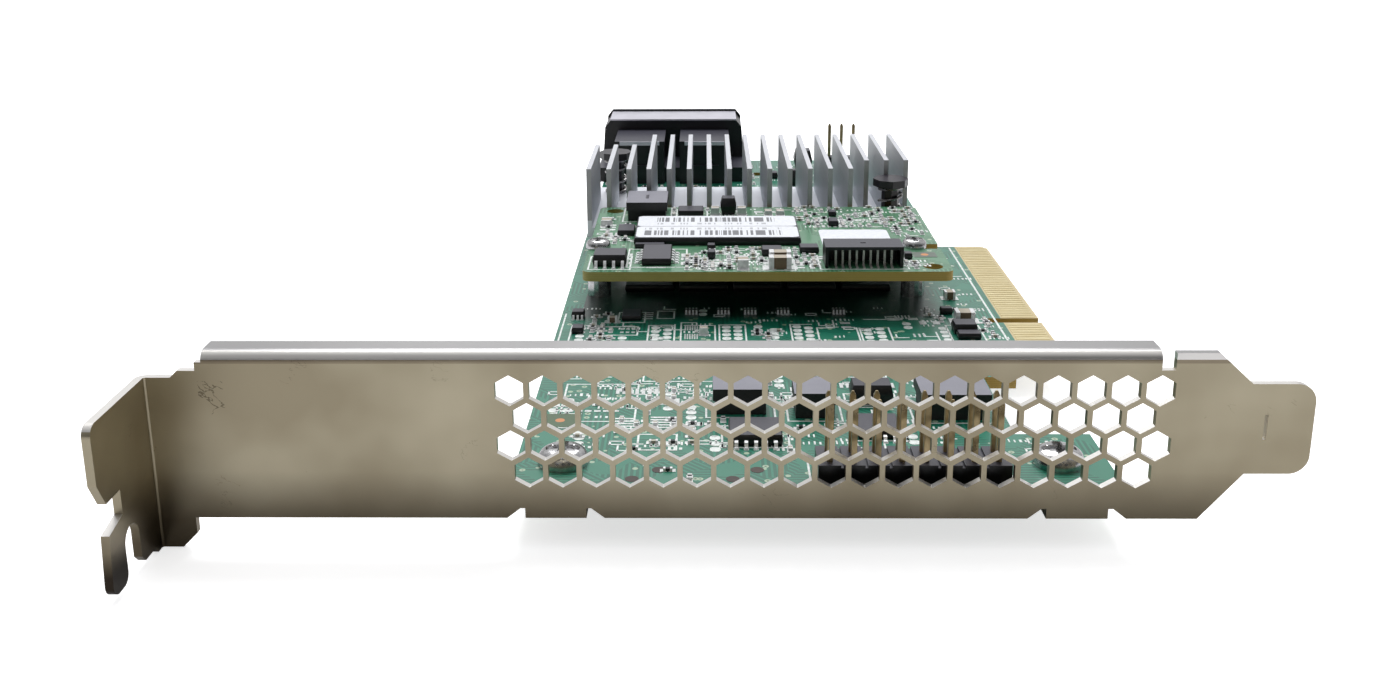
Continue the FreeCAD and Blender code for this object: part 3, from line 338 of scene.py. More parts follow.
# Sawn ends greyer, partly duller cut metal and partly painted shade; base front, fin tops and floor between
# fins painted paler: painted highlight.
aluminium.feed("Base Color", aluminium.over(
    side, (drawn.ramp(0.3, 0.7) * 0.3, (176, 180, 188)), (sawn * (1 - fin_foot) * 0.85, (156, 158, 160)),
    (sawn * fin_foot * 0.85, (222, 228, 232)), (top * (1 - deck), (206, 208, 214)),
    (top * deck * 0.8, (236, 238, 246))))
aluminium.feed("Roughness", 0.34 + stain * 0.14)
aluminium.bump(drawn, 0.18, 0.03)
print("metals:", [finish.material.name for finish in (zinc, tin, solder, gold, aluminium)])

# %% [markdown]
# ## The boards
#
# A circuit board is glass cloth in resin, seen bare on its cut edges, where it is faintly layered
# and goes from olive to amber. Its faces carry copper tracks under a green varnish. The tracks
# show as a paler green, in bundles that run straight or at 45 degrees, and small plated holes
# dot them. All of that is thinner than a hair, so it belongs in the finish and not in the mesh.

# %% Varnished laminate
# The rectangle under the upper board where the main board's varnish carries a painted shadow.
PAINTED_SHADOW_UNDER_MODULE = (-66.0, -13.0, 56.6, 93.8)
TONGUE_X, TONGUE_Y, FADE = -5.4, 44.0, 3.0
TRACK_PITCH, SLANT_PITCH, CLOTH_LAYER = 0.62, 0.9, 0.26
OLIVE_END, AMBER_END = -62.0, -14.0


def board_finish(name, deep, pale, painted_shadow_area=None):
    """Green varnish over tracks on the two faces, and bare laminate on the cut edges. A painted shadow
    area is a rectangle, x0, x1, y0, y1, where the varnish is painted much darker: painted shadow
    under the upper board. A board that has one has a contact tongue too, which is left without varnish."""
    finish = Finish(name, pale, 0.30)
    finish.feed("Coat Roughness", 0.12)
    x, y, z = finish.place()
    flat = finish.point(x, y)
    region = finish.noise(flat, 0.13, 0.0)
    patch = finish.noise(finish.point(x + 40.0, y), 0.21, 0.0)
    level, upright = region > 0.55, region < 0.47
    along, across = y.repeats(TRACK_PITCH) < 0.42, x.repeats(TRACK_PITCH) < 0.42
    slanted = ((x + y).repeats(SLANT_PITCH) < 0.4) * (1 - level) * (1 - upright)
    tracks = (along * level + across * upright + slanted) * (patch > 0.42)
    via_place = finish.cells(flat, 0.52)
    ring = (via_place < 0.19) * (patch > 0.34)
    hole = (via_place < 0.08) * (patch > 0.34)
    green = finish.mix((tracks + (patch < 0.42) * 0.75).held(), deep, pale)
    green = finish.over(green, (ring * 0.7, (196, 214, 186)), (hole * 0.8, (42, 66, 48)))
    cloud = finish.noise(finish.point(x, y, z), 0.4, 3.0)
    layers = (z.repeats(CLOTH_LAYER) < 0.5) * 0.35 + cloud * 0.4
    olive = finish.mix(layers, (136, 130, 64), (160, 152, 86))
    amber = finish.mix(layers, (172, 144, 66), (196, 168, 92))
    edge = finish.mix(x.ramp(OLIVE_END, AMBER_END), olive, amber)
    face = abs(finish.place("Normal")[2]) > 0.5
    if painted_shadow_area is not None:
        x0, x1, y0, y1 = painted_shadow_area
        # Painted shadow: the varnish under the upper board is painted much darker.
        painted_shadow = (x > x0) * x.ramp(x1, x1 - FADE) * y.ramp(y0, y0 + FADE) * (y < y1)
        tongue = (x > TONGUE_X) * (y > TONGUE_Y)
        green = finish.over(green, (painted_shadow * 0.88, (6, 26, 24)), (tongue, (208, 188, 136)))
    finish.feed("Base Color", finish.mix(face, edge, green))
    finish.feed("Roughness", 0.55 - face * 0.22 + cloud * 0.08)
    finish.feed("Coat Weight", face * 0.5)
    finish.bump(tracks * 0.6 + ring, 0.25, 0.04)
    return finish


main_varnish = board_finish("main_board_varnish", (10, 98, 78), (30, 130, 104), PAINTED_SHADOW_UNDER_MODULE)
module_varnish = board_finish("module_varnish", (50, 108, 74), (88, 146, 110))
# The ink is nearly flat, and a little thin in places.
white_ink = Finish("white_ink", (238, 244, 242), 0.6)
thin = white_ink.noise(white_ink.point(*white_ink.place()), 1.4, 3.0)
white_ink.feed("Base Color", white_ink.mix(thin.ramp(0.35, 0.6), (209.44, 214.72, 212.96), (238, 244, 242)))
white_ink.bump(thin, 0.1, 0.02)
print("boards:", main_varnish.material.name, module_varnish.material.name, white_ink.material.name)

# %% [markdown]
# ## Mouldings, ceramics and paper
#
# Chips are black epoxy with a fine matte skin, push pins and receptacles are smoother plastic, and
# ceramic blocks are tan, pale or dark with a chalky face. Each has the grain of its own process,
# and each is painted paler on its upper faces: a painted highlight where the lamp's light falls.

# %% Plastics, ceramics and paper
def moulded(name, colour, roughness, grain_scale, strength, worn=1.25, top=None):
    """A moulded or fired material: fine grain in the gloss and the normals, and a slow change of
    tone. A colour for the top is a painted highlight on the upper faces, where the lamp's light falls."""
    finish = Finish(name, colour, roughness)
    spot = finish.point(*finish.place())
    grain = finish.noise(spot, grain_scale, 3.0)
    slow = finish.noise(spot, 0.3, 2.0)
    paler = tuple(min(255.0, worn * value + 3) for value in colour)
    body = finish.mix(slow.ramp(0.35, 0.7), colour, paler)
    if top is not None:
        # Painted highlight: upper faces take the paler top colour.
        painted_top_light = (finish.place("Normal")[2] > 0.7) * (0.75 + slow * 0.25)
        body = finish.mix(painted_top_light, body, top)
    finish.feed("Base Color", body)
    finish.feed("Roughness", roughness - 0.06 + grain * 0.12)
    finish.bump(grain, strength, 0.03)
    return finish


# The last colour of each is the painted highlight on its upper faces.
epoxy = moulded("chip_epoxy", (15, 15, 19), 0.38, 5.0, 0.35, top=(70, 70, 80))
port_plastic = moulded("port_plastic", (13, 13, 17), 0.34, 3.0, 0.15, top=(66, 66, 78))
nylon = moulded("black_nylon", (17, 15, 19), 0.34, 2.0, 0.12, top=(46, 42, 52))
tan_ceramic = moulded("tan_ceramic", (98, 82, 64), 0.5, 4.0, 0.3, 1.15, top=(186, 176, 160))
pale_ceramic = moulded("pale_ceramic", (140, 134, 122), 0.5, 4.0, 0.3, 1.1, top=(186, 182, 168))
glaze = moulded("resistor_glaze", (20, 20, 24), 0.30, 3.0, 0.1, top=(50, 54, 58))
ferrite = moulded("ferrite", (24, 23, 25), 0.5, 6.0, 0.4, 1.15, top=(140, 140, 152))
thermal_gum = moulded("thermal_gum", (140, 146, 152), 0.7, 4.0, 0.3, 1.05)


def label_finish(name, bars, faint, columns):
    """White label stock with a generic band of dark bars, each bar's presence drawn by chance, and
    a fainter line of short ticks beside it. A band is its low and high edge in Y."""
    finish = Finish(name, (236, 236, 236), 0.55)
    x, y, z = finish.place()
    span = (x > columns[0]) * (x < columns[1])
    bar = (finish.chance(x.step(0.2)) > 0.4) * (x.repeats(1.75) < 0.88)
    tick = (finish.chance(x.step(0.24) + 31.0) > 0.5) * (x.repeats(4.1) < 0.7)
    dark = bar * (y > bars[0]) * (y < bars[1]) * 0.8 + tick * (y > faint[0]) * (y < faint[1]) * 0.42
    fibre = finish.noise(finish.point(x, y, z), 2.0, 4.0)
    paper = finish.mix(fibre.ramp(0.3, 0.7), (222, 225, 233), (236, 239, 245))
    finish.feed("Base Color", finish.mix(dark * span, paper, (40, 40, 50)))
    finish.bump(fibre, 0.1, 0.02)
    return finish


print("mouldings:", epoxy.material.name, port_plastic.material.name, nylon.material.name)

# %% [markdown]
# ## Surfaces from arrays
#
# Every small piece here is a grid of rings: a skin joins each ring to the next and closes both
# ends. A shape keeps its points in one array, so moving it is one sum.

# %% Shapes and skins
class Shape:
    """Points in millimetres as one array, and faces as arrays that each hold faces of one size."""

    def __init__(self, points, faces):
        self.points, self.faces = points, faces

    def at(self, x, y, z=0.0):
        return Shape(self.points + np.array([x, y, z]), self.faces)

    def turned(self, quarters):
        """Turned about Z by quarter turns: (x, y) to (x cos - y sin, x sin + y cos)."""
        angle = quarters * math.pi / 2
        cosine, sine = math.cos(angle), math.sin(angle)
        spin = np.array([[cosine, sine, 0], [-sine, cosine, 0], [0, 0, 1]])
        return Shape(self.points @ spin, self.faces)


def join(shapes):
    """Several shapes as one: the faces of each count on from the points before it."""
    starts = np.cumsum([0] + [len(shape.points) for shape in shapes[:-1]])
    faces = [face + start for shape, start in zip(shapes, starts) for face in shape.faces]
    return Shape(np.concatenate([shape.points for shape in shapes]), faces)


def skin(rings):
    """Join rings of points, level by level, and close both ends. Rings turn anticlockwise going up."""
    levels, around = rings.shape[:2]
    level, point = np.meshgrid(np.arange(levels - 1), np.arange(around), indexing="ij")
    here, beside = level * around + point, level * around + (point + 1) % around
    sides = np.stack([here, beside, beside + around, here + around], -1).reshape(-1, 4)
    bottom = np.arange(around)[::-1][None]
    top = (np.arange(around) + (levels - 1) * around)[None]
    return Shape(rings.reshape(-1, 3), [sides, bottom, top])


print("a square skin:", len(skin(np.zeros((2, 4, 3))).faces[0]), "sides")

# %% [markdown]
# ## Piles, turned parts, wires and ribbons
#
# A moulding is a pile of rounded rectangles: each level has half sizes, a corner radius and a
# height. A turned part is the same with circles. A wire or a flat lead is a ring or a rectangle
# carried along a path, which is how both are bent.

# %% Four kinds of ring
def pile(levels, corner):
    """Rounded rectangles one above another. A point is the corner's centre plus the corner
    radius times (cos a, sin a), with a running through a quarter turn at each of four corners."""
    half_x, half_y, radius, height = np.array(levels, float).T[:, :, None]
    start = np.repeat(np.arange(4) * math.pi / 2, corner + 1)
    angle = start + np.tile(np.linspace(0, math.pi / 2, corner + 1), 4)
    sign_x, sign_y = np.sign(np.cos(start + 0.7)), np.sign(np.sin(start + 0.7))
    x = sign_x * (half_x - radius) + radius * np.cos(angle)
    y = sign_y * (half_y - radius) + radius * np.sin(angle)
    return skin(np.stack([x, y, height + 0 * x], -1))


def lathe(profile, around):
    """A turned shape: each (radius, height) of the profile swept round Z, (r cos a, r sin a, h)."""
    radius, height = np.array(profile, float).T[:, :, None]
    angle = np.linspace(0, 2 * math.pi, around, endpoint=False)
    return skin(np.stack([radius * np.cos(angle), radius * np.sin(angle), height + 0 * angle], -1))


def directions(path):
    """The path's direction at each of its points: the difference of its neighbours, at length 1."""
    along = np.gradient(path, axis=0)
    return along / np.linalg.norm(along, axis=1, keepdims=True)


def wire(path, radius, around=8):
    """A round wire: at each point of the path, a ring at right angles to the path's direction."""
    along = directions(path)
    side = np.cross(along, [0.0, 0.0, 1.0])
    side /= np.linalg.norm(side, axis=1, keepdims=True)
    lift = np.cross(side, along)
    angle = np.linspace(0, 2 * math.pi, around, endpoint=False)[None, :, None]
    ring = path[:, None] - radius * (np.cos(angle) * side[:, None] - np.sin(angle) * lift[:, None])
    return skin(ring)


def ribbon(path, wide, thick):
    """A flat lead bent in the YZ plane: half the width in X, half the thickness across the path."""
    path = np.array(path, float)
    along = directions(path)
    normal = np.stack([-along[:, 1], along[:, 0]], -1)
    corner = np.array([[-1, -1], [1, -1], [1, 1], [-1, 1]]) / 2
    x = corner[None, :, 0] * wide + 0 * path[:, :1]
    yz = path[:, None] + corner[None, :, 1, None] * thick * normal[:, None]
    return skin(np.concatenate([x[..., None], yz], -1)[:, ::-1])


print("a turned disc:", len(lathe([(1, 0), (1, 1)], 16).points), "points")

# %% [markdown]
# ## Blocks, chips and many copies
#
# A board carries hundreds of like parts. Copies are made by adding every place to the whole array
# of one part at once, and all copies of a kind are one mesh.

# %% Blocks and copies
def block(wide, long, high, edge=0.05):
    """A block standing on Z = 0 with small rounded corners and a worn upper edge."""
    x, y = wide / 2, long / 2
    return pile([(x, y, edge, 0), (x, y, edge, high - edge), (x - edge, y - edge, edge, high)], 2)


def package(wide, long, high):
    """A moulded chip: widest at the parting line near its middle, with drafted sides."""
    x, y, draft = wide / 2, long / 2, high * 0.1
    levels = [(x - draft, y - draft, 0.05, 0.03), (x, y, 0.08, high * 0.45)]
    levels += [(x, y, 0.08, high * 0.55), (x - draft, y - draft, 0.08, high - 0.05)]
    return pile(levels + [(x - draft - 0.05, y - draft - 0.05, 0.06, high)], 2)


def scatter(shape, places, sizes):
    """Copies of one shape: its points times each size plus each place, in a single product."""
    places, sizes = np.atleast_2d(places).astype(float), np.atleast_2d(sizes).astype(float)
    points = shape.points[None] * sizes[:, None] + places[:, None]
    start = np.arange(len(places))[:, None, None] * len(shape.points)
    faces = [(face[None] + start).reshape(-1, face.shape[1]) for face in shape.faces]
    return Shape(points.reshape(-1, 3), faces)


UNIT = pile([(0.5, 0.5, 0.02, 0), (0.5, 0.5, 0.02, 0.92), (0.47, 0.47, 0.02, 1)], 1)


def add_piece(name, shape, finish, slot, *nodes, smooth=0.6):
    """Put a shape into the scene in metres, with its finish and the nodes it stands for. The slot is not
    used.
    """
    mesh = bpy.data.meshes.new(name)
    faces = [face for group in shape.faces for face in group.tolist()]
    mesh.from_pydata((shape.points * MM).tolist(), [], faces)
    mesh.polygons.foreach_set("use_smooth", np.ones(len(faces), bool))
    mesh.set_sharp_from_angle(angle=smooth)
    mesh.materials.append(finish.material)
    piece = put(name, mesh)
    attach(piece, "root")
    if nodes:
        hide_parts(*nodes)
    print(name, len(shape.points), "points")


def dress(finish, *nodes):
    """Give packed nodes a finish and leave their shape alone."""
    for name in nodes:
        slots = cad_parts[name].data.materials
        slots.clear()
        slots.append(finish.material)


def box_of(name):
    """The low and high corner of a node in millimetres."""
    return [np.array(corner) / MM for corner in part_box(name)]


# %% [markdown]
# ## Big parts that keep their packed shape
#
# The folded bracket, the boards, the heat sink and the receptacle already have their true
# outlines, holes and bends. They only need their finishes.

# %% Dress the packed parts
main_low, main_high = box_of("main_board")
module_low, module_high = box_of("module_board")
main_top, module_top = main_high[2], module_high[2]

dress(nickel, "bracket")
dress(main_varnish, "main_board")
dress(module_varnish, "module_board")
dress(gold, "edge_contacts")
dress(contact_steel, "power_contacts")
dress(aluminium, "heat_sink")
dress(port_plastic, "port_housing", "port_cores", "stacking_socket", "stacking_plug", "power_receptacle")
dress(shell_steel, "port_shield", "port_clips")
dress(thermal_gum, "thermal_pad")
dress(nylon, "push_pin_front", "push_pin_rear")
dress(ferrite, "board_inductors", "power_inductor")
print("main board top", round(main_top, 2), "module top", round(module_top, 2))

# %% [markdown]
# ## Screws
#
# A pan head is a dome with a cross cut into it. Worked out on a polar grid, its height is the
# dome's height less a groove: the groove is deep where the point lies near either arm of the
# cross and within the arm's length, so one formula gives head and recess together.

# %% Screw heads
ARM_SHARE, GROOVE_SHARE, RECESS_SHARE = 0.62, 0.15, 0.55
BRACKET_SHAFT, MODULE_SHAFT = 1.45, 0.95


def screw_head(radius, high, arm, groove, deep, around=96, steps=22):
    """Height h = dome(r) - deep * cross(x, y). The dome is high * (1 - (r / radius)^4)^(1/2), and
    the cross is 1 where the smaller of |x|, |y| is under groove and the larger is under arm."""
    share = np.linspace(1, 0.02, steps)[:, None]
    angle = np.linspace(0, 2 * math.pi, around, endpoint=False)[None]
    x, y = radius * share * np.cos(angle), radius * share * np.sin(angle)
    near, far = np.minimum(abs(x), abs(y)), np.maximum(abs(x), abs(y))
    slot = np.clip((groove - near) / 0.12 + 0.5, 0, 1) * np.clip((arm - far) / 0.2 + 0.5, 0, 1)
    height = 0.25 * high + 0.75 * high * np.sqrt(1 - share ** 4) - deep * slot
    foot = np.stack([x[0], y[0], 0 * x[0]], -1)[None]
    return skin(np.concatenate([foot, np.stack([x, y, height], -1)]))


def screw_places(node, z):
    """The middle of each of two screws, from the box that holds them both."""
    lowest, highest = box_of(node)
    radius = (highest[1] - lowest[1]) / 2
    middle = (lowest[1] + highest[1]) / 2
    return radius, [(lowest[0] + radius, middle, z), (highest[0] - radius, middle, z)]


def screws(node, z, shaft, piece):
    """Two heads and their shafts."""
    radius, places = screw_places(node, z)
    bottom, high = box_of(node)[0][2], box_of(node)[1][2] - z
    head = screw_head(radius, high, radius * ARM_SHARE, radius * GROOVE_SHARE, high * RECESS_SHARE)
    stem = lathe([(shaft * 0.8, bottom - z), (shaft, bottom - z + 0.3), (shaft, 0.1)], 20)
    copies = [part.at(*place) for place in places for part in (head, stem)]
    add_piece(piece, join(copies), zinc, "screw_steel", node, smooth=0.5)


screws("bracket_screws", main_top, BRACKET_SHAFT, "screw_heads_bracket")
screws("module_screws", module_top, MODULE_SHAFT, "screw_heads_module")
dress(zinc, "standoffs")

# %% [markdown]
# ## Springs under the push pins
#
# A coil spring is a helix: the angle grows evenly while the height rises, and the first and last
# three quarters of a turn lie flat where the ends are closed. A ring is carried along it.

# %% Springs
TURNS, WIRE_RADIUS, CLOSED_TURNS = 4.5, 0.25, 0.75


def coil(node, steps=140):
    """(R cos a, R sin a, h), where h rises only between the closed end turns."""
    lowest, highest = box_of(node)
    radius = (highest[0] - lowest[0]) / 2 - WIRE_RADIUS
    share = np.linspace(0, 1, steps)
    angle = share * TURNS * 2 * math.pi
    closed = CLOSED_TURNS / TURNS
    rise = np.clip((share - closed) / (1 - 2 * closed), 0, 1)
    rise = rise * rise * (3 - 2 * rise) * 0.35 + rise * 0.65
    height = lowest[2] + WIRE_RADIUS + rise * (highest[2] - lowest[2] - 2 * WIRE_RADIUS)
    middle = (lowest + highest) / 2
    x, y = middle[0] + radius * np.cos(angle), middle[1] + radius * np.sin(angle)
    return wire(np.stack([x, y, height], -1), WIRE_RADIUS)


for end in ("front", "rear"):
    add_piece("spring_" + end, coil("pin_spring_" + end), spring_wire, "screw_steel", "pin_spring_" + end)

# %% [markdown]
# ## Chips
#
# A moulded chip parts at its middle, where the two halves of its mould met, so its sides slope
# in above and below. The packed solids give each one's place and size.

# %% Chip packages
def node_solids(node):
    """The low and high corner of each separate solid of a node, found by joining points that
    share faces: every point takes the least label among its face's points until none changes."""
    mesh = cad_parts[node].data
    points = np.empty(len(mesh.vertices) * 3)
    mesh.vertices.foreach_get("co", points)
    points = (points.reshape(-1, 3) / MM).round(4)
    unique, index = np.unique(points, axis=0, return_inverse=True)
    corners = np.empty(len(mesh.loops), int)
    mesh.loops.foreach_get("vertex_index", corners)
    triangles = index.ravel()[corners].reshape(-1, 3)
    label = np.arange(len(unique))
    while True:
        least = label[triangles].min(1)
        new = label.copy()
        np.minimum.at(new, triangles.ravel(), np.repeat(least, 3))
        if (new == label).all():
            break
        label = new
    groups = [unique[label == value] for value in np.unique(label)]
    return [(group.min(0), group.max(0)) for group in groups]


def seat(lowest, highest):
    """The middle of the underside of a box."""
    return (*((lowest + highest) / 2)[:2], lowest[2])


def packages(node):
    """One moulded chip for each solid of a node, at its place and size."""
    return join([package(*(highest - lowest)).at(*seat(lowest, highest))
                 for lowest, highest in node_solids(node)])


for node in ("controller_chip", "memory_chips", "flash_package", "module_chips",
             "board_chips", "power_transistors", "rear_chips"):
    add_piece(node + "_body", packages(node), epoxy, "chip_plastic", node)

# %% [markdown]
# ## Chips with leads
#
# The leads of these chips leave the body at its parting line, step down and lie flat on tinned
# pads. One lead is bent, then set along both sides at the chip's own pitch.

# %% Leaded chips
def gull_lead(reach, drop, wide, thick=0.18):
    """A lead that leaves the body level, steps down and lies flat: a path in Y and Z."""
    path = [(0, drop), (reach * 0.22, drop), (reach * 0.42, drop * 0.8), (reach * 0.55, drop * 0.3)]
    path += [(reach * 0.66, thick / 2), (reach, thick / 2)]
    return ribbon(path, wide, thick)


def leaded_chip(lowest, highest, count, pitch, lead_wide, sideways=False):
    """A chip with leads along two opposite sides: its body, its leads and their solder pads."""
    wide, long, high = highest - lowest
    if sideways:
        wide, long = long, wide
    reach = min(0.2 * long, 1.1)
    body = package(wide, long - 1.7 * reach, high)
    lead = gull_lead(reach, high * 0.5, lead_wide)
    pad = block(lead_wide + 0.16, reach * 0.75, 0.05, 0.02)
    leads, feet = [], []
    for offset in (np.arange(count) - (count - 1) / 2) * pitch:
        for half_turn in (0, 2):
            leads.append(lead.at(offset, long / 2 - reach).turned(half_turn))
            feet.append(pad.at(offset, long / 2 - reach * 0.25).turned(half_turn))
    quarter = 1 if sideways else 0
    place = seat(lowest, highest)
    return [shape.turned(quarter).at(*place) for shape in (body, join(leads), join(feet))]


def add_leaded(node, *forms):
    """The leaded chips of one node, each with its own count, pitch and width of leads."""
    chips = [leaded_chip(*box, *form) for box, form in zip(node_solids(node), forms)]
    bodies, leads, feet = zip(*chips)
    add_piece(node + "_body", join(bodies), epoxy, "chip_plastic", node)
    add_piece(node + "_leads", join(leads), tin, "lead_tin")
    add_piece(node + "_pads", join(feet), solder, "lead_tin")


add_leaded("memory_controller", (4, 1.27, 0.42))
add_leaded("reset_chip", (3, 0.62, 0.3))
add_leaded("power_chip", (5, 1.27, 0.5, True))
add_leaded("line_drivers", (5, 1.11, 0.42), (4, 1.11, 0.42))

# %% [markdown]
# ## Labels
#
# Two long paper labels lie on the flash package, and a square one lies on the upper board. Their
# corners are rounded, and the long ones carry a generic band of bars. The bars are worked out in
# the finish, in columns of equal width that chance fills or leaves white.

# %% Labels
LABEL_BANDS = {
    "label_front": ((0.18, 0.62), (0.70, 0.88), (0.05, 0.90)),
    "label_rear": ((0.42, 0.84), (0.16, 0.32), (0.12, 0.87)),
    "label_side": ((2, 3), (2, 3), (0, 0)),
}
for node, (bars, faint, columns) in LABEL_BANDS.items():
    lowest, highest = box_of(node)
    wide, long, high = highest - lowest
    levels = [(wide / 2, long / 2, 0.8, 0), (wide / 2, long / 2, 0.8, high)]
    bars, faint = ([lowest[1] + share * long for share in band] for band in (bars, faint))
    columns = [lowest[0] + share * wide for share in columns]
    paper = label_finish(node + "_paper", bars, faint, columns)
    add_piece(node + "_sheet", pile(levels, 6).at(*seat(lowest, highest)), paper, "label_paper", node)

# %% [markdown]
# ## Two-ended parts
#
# Capacitors and resistors are bricks with a metal cap at each end. One list gives places and
# sizes, and three arrays are filled from it: bodies, caps and the solder pads below them.

# %% Two-ended parts
PASTE, SHRINK = 0.03, (0.04, 0.04, 0.03)
LARGE_CAP, SMALL_CAP = 0.22, 0.26


def two_ended(piece, places, floor, body, slot, share, *nodes):
    """Each place is x, y, the size along X, along Y, the height, and 1 if its caps lie along Y.
    Share is the part of the length that each cap covers."""
    data = np.array(places, float)
    middle, size, along_y = data[:, :2], data[:, 2:5], data[:, 5:6]
    count = len(data)
    axis = np.concatenate([1 - along_y, along_y, np.zeros((count, 1))], 1)
    ground = np.concatenate([middle, np.full((count, 1), floor + PASTE)], 1)
    inner = size * (1 - 2 * share * axis * 0.9)
    add_piece(piece, scatter(UNIT, ground, inner - SHRINK), body, slot, *nodes)
    reach = (size * axis).sum(1, keepdims=True)
    caps, pads = [], []
    for side in (-0.5, 0.5):
        shift = axis * reach * side
        cap_size = size * (1 - (1 - share) * axis)
        caps.append(scatter(UNIT, ground + shift * (1 - share), cap_size))
        pad_size = size * (1 - 0.45 * axis) * [1, 1, 0] + [0.2, 0.2, 0.06]
        pads.append(scatter(UNIT, ground - [0, 0, PASTE] + shift * 0.95, pad_size))
    add_piece(piece + "_caps", join(caps), tin, "lead_tin")
    add_piece(piece + "_pads", join(pads), solder, "lead_tin")


def from_solids(node):
    """The list of places for the solids of a node, with caps at the ends of the longer side."""
    places = []
    for lowest, highest in node_solids(node):
        wide, long, high = highest - lowest
        places.append((*seat(lowest, highest)[:2], wide, long, high, float(long > wide)))
    return places


for board, top in (("module", module_top), ("board", main_top)):
    node = board + "_capacitors"
    two_ended(board + "_large_capacitors", from_solids(node), top, tan_ceramic, "ceramic_tan",
              LARGE_CAP, node)

# %% [markdown]
# ## The small parts of both boards
#
# Tiny resistors and capacitors crowd the free ground in loose rows. A field is a grid of places
# in a rectangle. Chance fills a share of them and turns each part, and places too near to a
# bigger part, a screw or a tooling hole are dropped again.

# %% Fields of small parts
SMALL_LONG, SMALL_WIDE, SMALL_HIGH = 1.0, 0.5, 0.35


def field(seed, x0, x1, y0, y1, step_x, step_y, fill):
    """The cells of a grid, a share of them filled, each with its caps along X or Y by chance."""
    chance = np.random.default_rng(seed)
    x, y = np.meshgrid(np.arange(x0, x1, step_x), np.arange(y0, y1, step_y))
    kept = chance.random(x.size) < fill
    x, y = x.ravel()[kept], y.ravel()[kept]
    turned = (chance.random(x.size) < 0.5).astype(float)
    wide = np.where(turned > 0, SMALL_WIDE, SMALL_LONG)
    long = np.where(turned > 0, SMALL_LONG, SMALL_WIDE)
    return np.stack([x, y, wide, long, np.full(x.size, SMALL_HIGH), turned], 1)


def on_board(corner, fields, seed):
    """All the fields of a board, each with the next seed, shifted from the board's corner."""
    places = np.concatenate([field(seed + index, *row) for index, row in enumerate(fields)])
    places[:, :2] += corner[:2]
    return places


print("a small part is", SMALL_LONG, "by", SMALL_WIDE, "by", SMALL_HIGH, "mm")

# %% [markdown]
# ## Where the small parts stand
#
# A row below is a rectangle in millimetres from its board's corner, the steps of its grid along X
# and Y, and the share of the grid that is filled.

# %% Places of the small parts
MODULE_FIELDS = (
    (14.9, 17.6, 1.6, 8.9, 1.3, 1.05, 0.85), (17.4, 22.6, 1.6, 12.6, 1.2, 1.15, 0.62),
    (2.2, 7.4, 15.6, 30, 1.5, 1.3, 0.5), (24.6, 27.6, 5.2, 12.8, 1.15, 1.1, 0.7),
    (30.9, 33.8, 2.6, 12.6, 1.2, 1.1, 0.75), (12.4, 14.2, 32.4, 37, 1.1, 0.95, 0.7),
    (18, 25.4, 32, 37.2, 1.5, 1, 0.4), (32.8, 47.4, 25.4, 37.6, 1.35, 1.2, 0.44),
    (47.6, 51.6, 18.4, 37.2, 1.25, 1.15, 0.4), (46.6, 48.4, 2, 10.4, 1.1, 1.2, 0.7))
BOARD_FIELDS = (
    (2, 10, 57.4, 62.4, 1.6, 1.3, 0.5), (5, 8.4, 48.4, 57, 1.3, 1.05, 0.5),
    (28.2, 31.6, 45.4, 52.6, 1.5, 1.4, 0.45), (53.4, 58, 57, 62.4, 1.35, 1.2, 0.55),
    (58.6, 61.4, 50, 58.8, 1.2, 1.2, 0.35), (8, 54, 18, 44, 3.0, 2.4, 0.32),
    (4, 31, 12, 20, 2.2, 1.8, 0.3), (31, 58.4, 128.4, 164, 3.4, 2.7, 0.35),
    (2, 30, 128.4, 143, 3.4, 2.7, 0.4), (55.4, 59.4, 99, 126, 2.0, 2.3, 0.4),
    (12, 20, 2.4, 10, 2.4, 2.0, 0.35))


def clear_of(places, nodes, margin=0.35):
    """Drop the places that would stand within a margin of any of the named nodes' solids."""
    kept = np.ones(len(places), bool)
    for node in nodes:
        for lowest, highest in node_solids(node):
            reach = places[:, 2:4] / 2 + margin
            inside = (places[:, :2] > lowest[:2] - reach) & (places[:, :2] < highest[:2] + reach)
            kept &= ~inside.all(1)
    return places[kept]


def off_screws(places, centres, radius):
    """Drop the places that lie nearer than a radius to any centre."""
    gaps = [np.hypot(places[:, 0] - x, places[:, 1] - y) for x, y in centres]
    return places[np.min(gaps, 0) > radius]


MODULE_NODES = ("memory_controller", "power_chip", "power_inductor", "module_chips", "module_capacitors",
                "flash_package", "label_side", "power_receptacle", "power_contacts")
BOARD_NODES = ("resistor_networks", "reset_chip", "board_chips", "power_transistors", "board_capacitors",
               "rear_chips", "header_strip", "rear_header_strip", "memory_chips", "standoffs", "heat_sink",
               "port_housing", "bracket_screws", "line_drivers", "board_inductors", "push_pin_rear")
SCREW_CLEAR, HOLE_CLEAR, HOLE_INSET = 2.6, 2.3, 2.6
screw_spots = [place[:2] for place in screw_places("module_screws", 0)[1]]
module_holes = [(module_high[0] - HOLE_INSET, module_low[1] + HOLE_INSET),
                (module_low[0] + HOLE_INSET, module_high[1] - HOLE_INSET)]
module_small = clear_of(on_board(module_low, MODULE_FIELDS, 1), MODULE_NODES)
module_small = off_screws(off_screws(module_small, screw_spots, SCREW_CLEAR), module_holes, HOLE_CLEAR)
main_corner = np.array([main_low[0], 0.0])
board_small = clear_of(on_board(main_corner, BOARD_FIELDS, 11), BOARD_NODES)
for board, places, top, seed, share in (("module", module_small, module_top, 5, 0.4),
                                        ("board", board_small, main_top, 6, 0.5)):
    dark = np.random.default_rng(seed).random(len(places)) < share
    two_ended(board + "_resistors", places[dark], top, glaze, "resistor_black", SMALL_CAP)
    two_ended(board + "_small_capacitors", places[~dark], top, pale_ceramic, "ceramic_tan", SMALL_CAP)

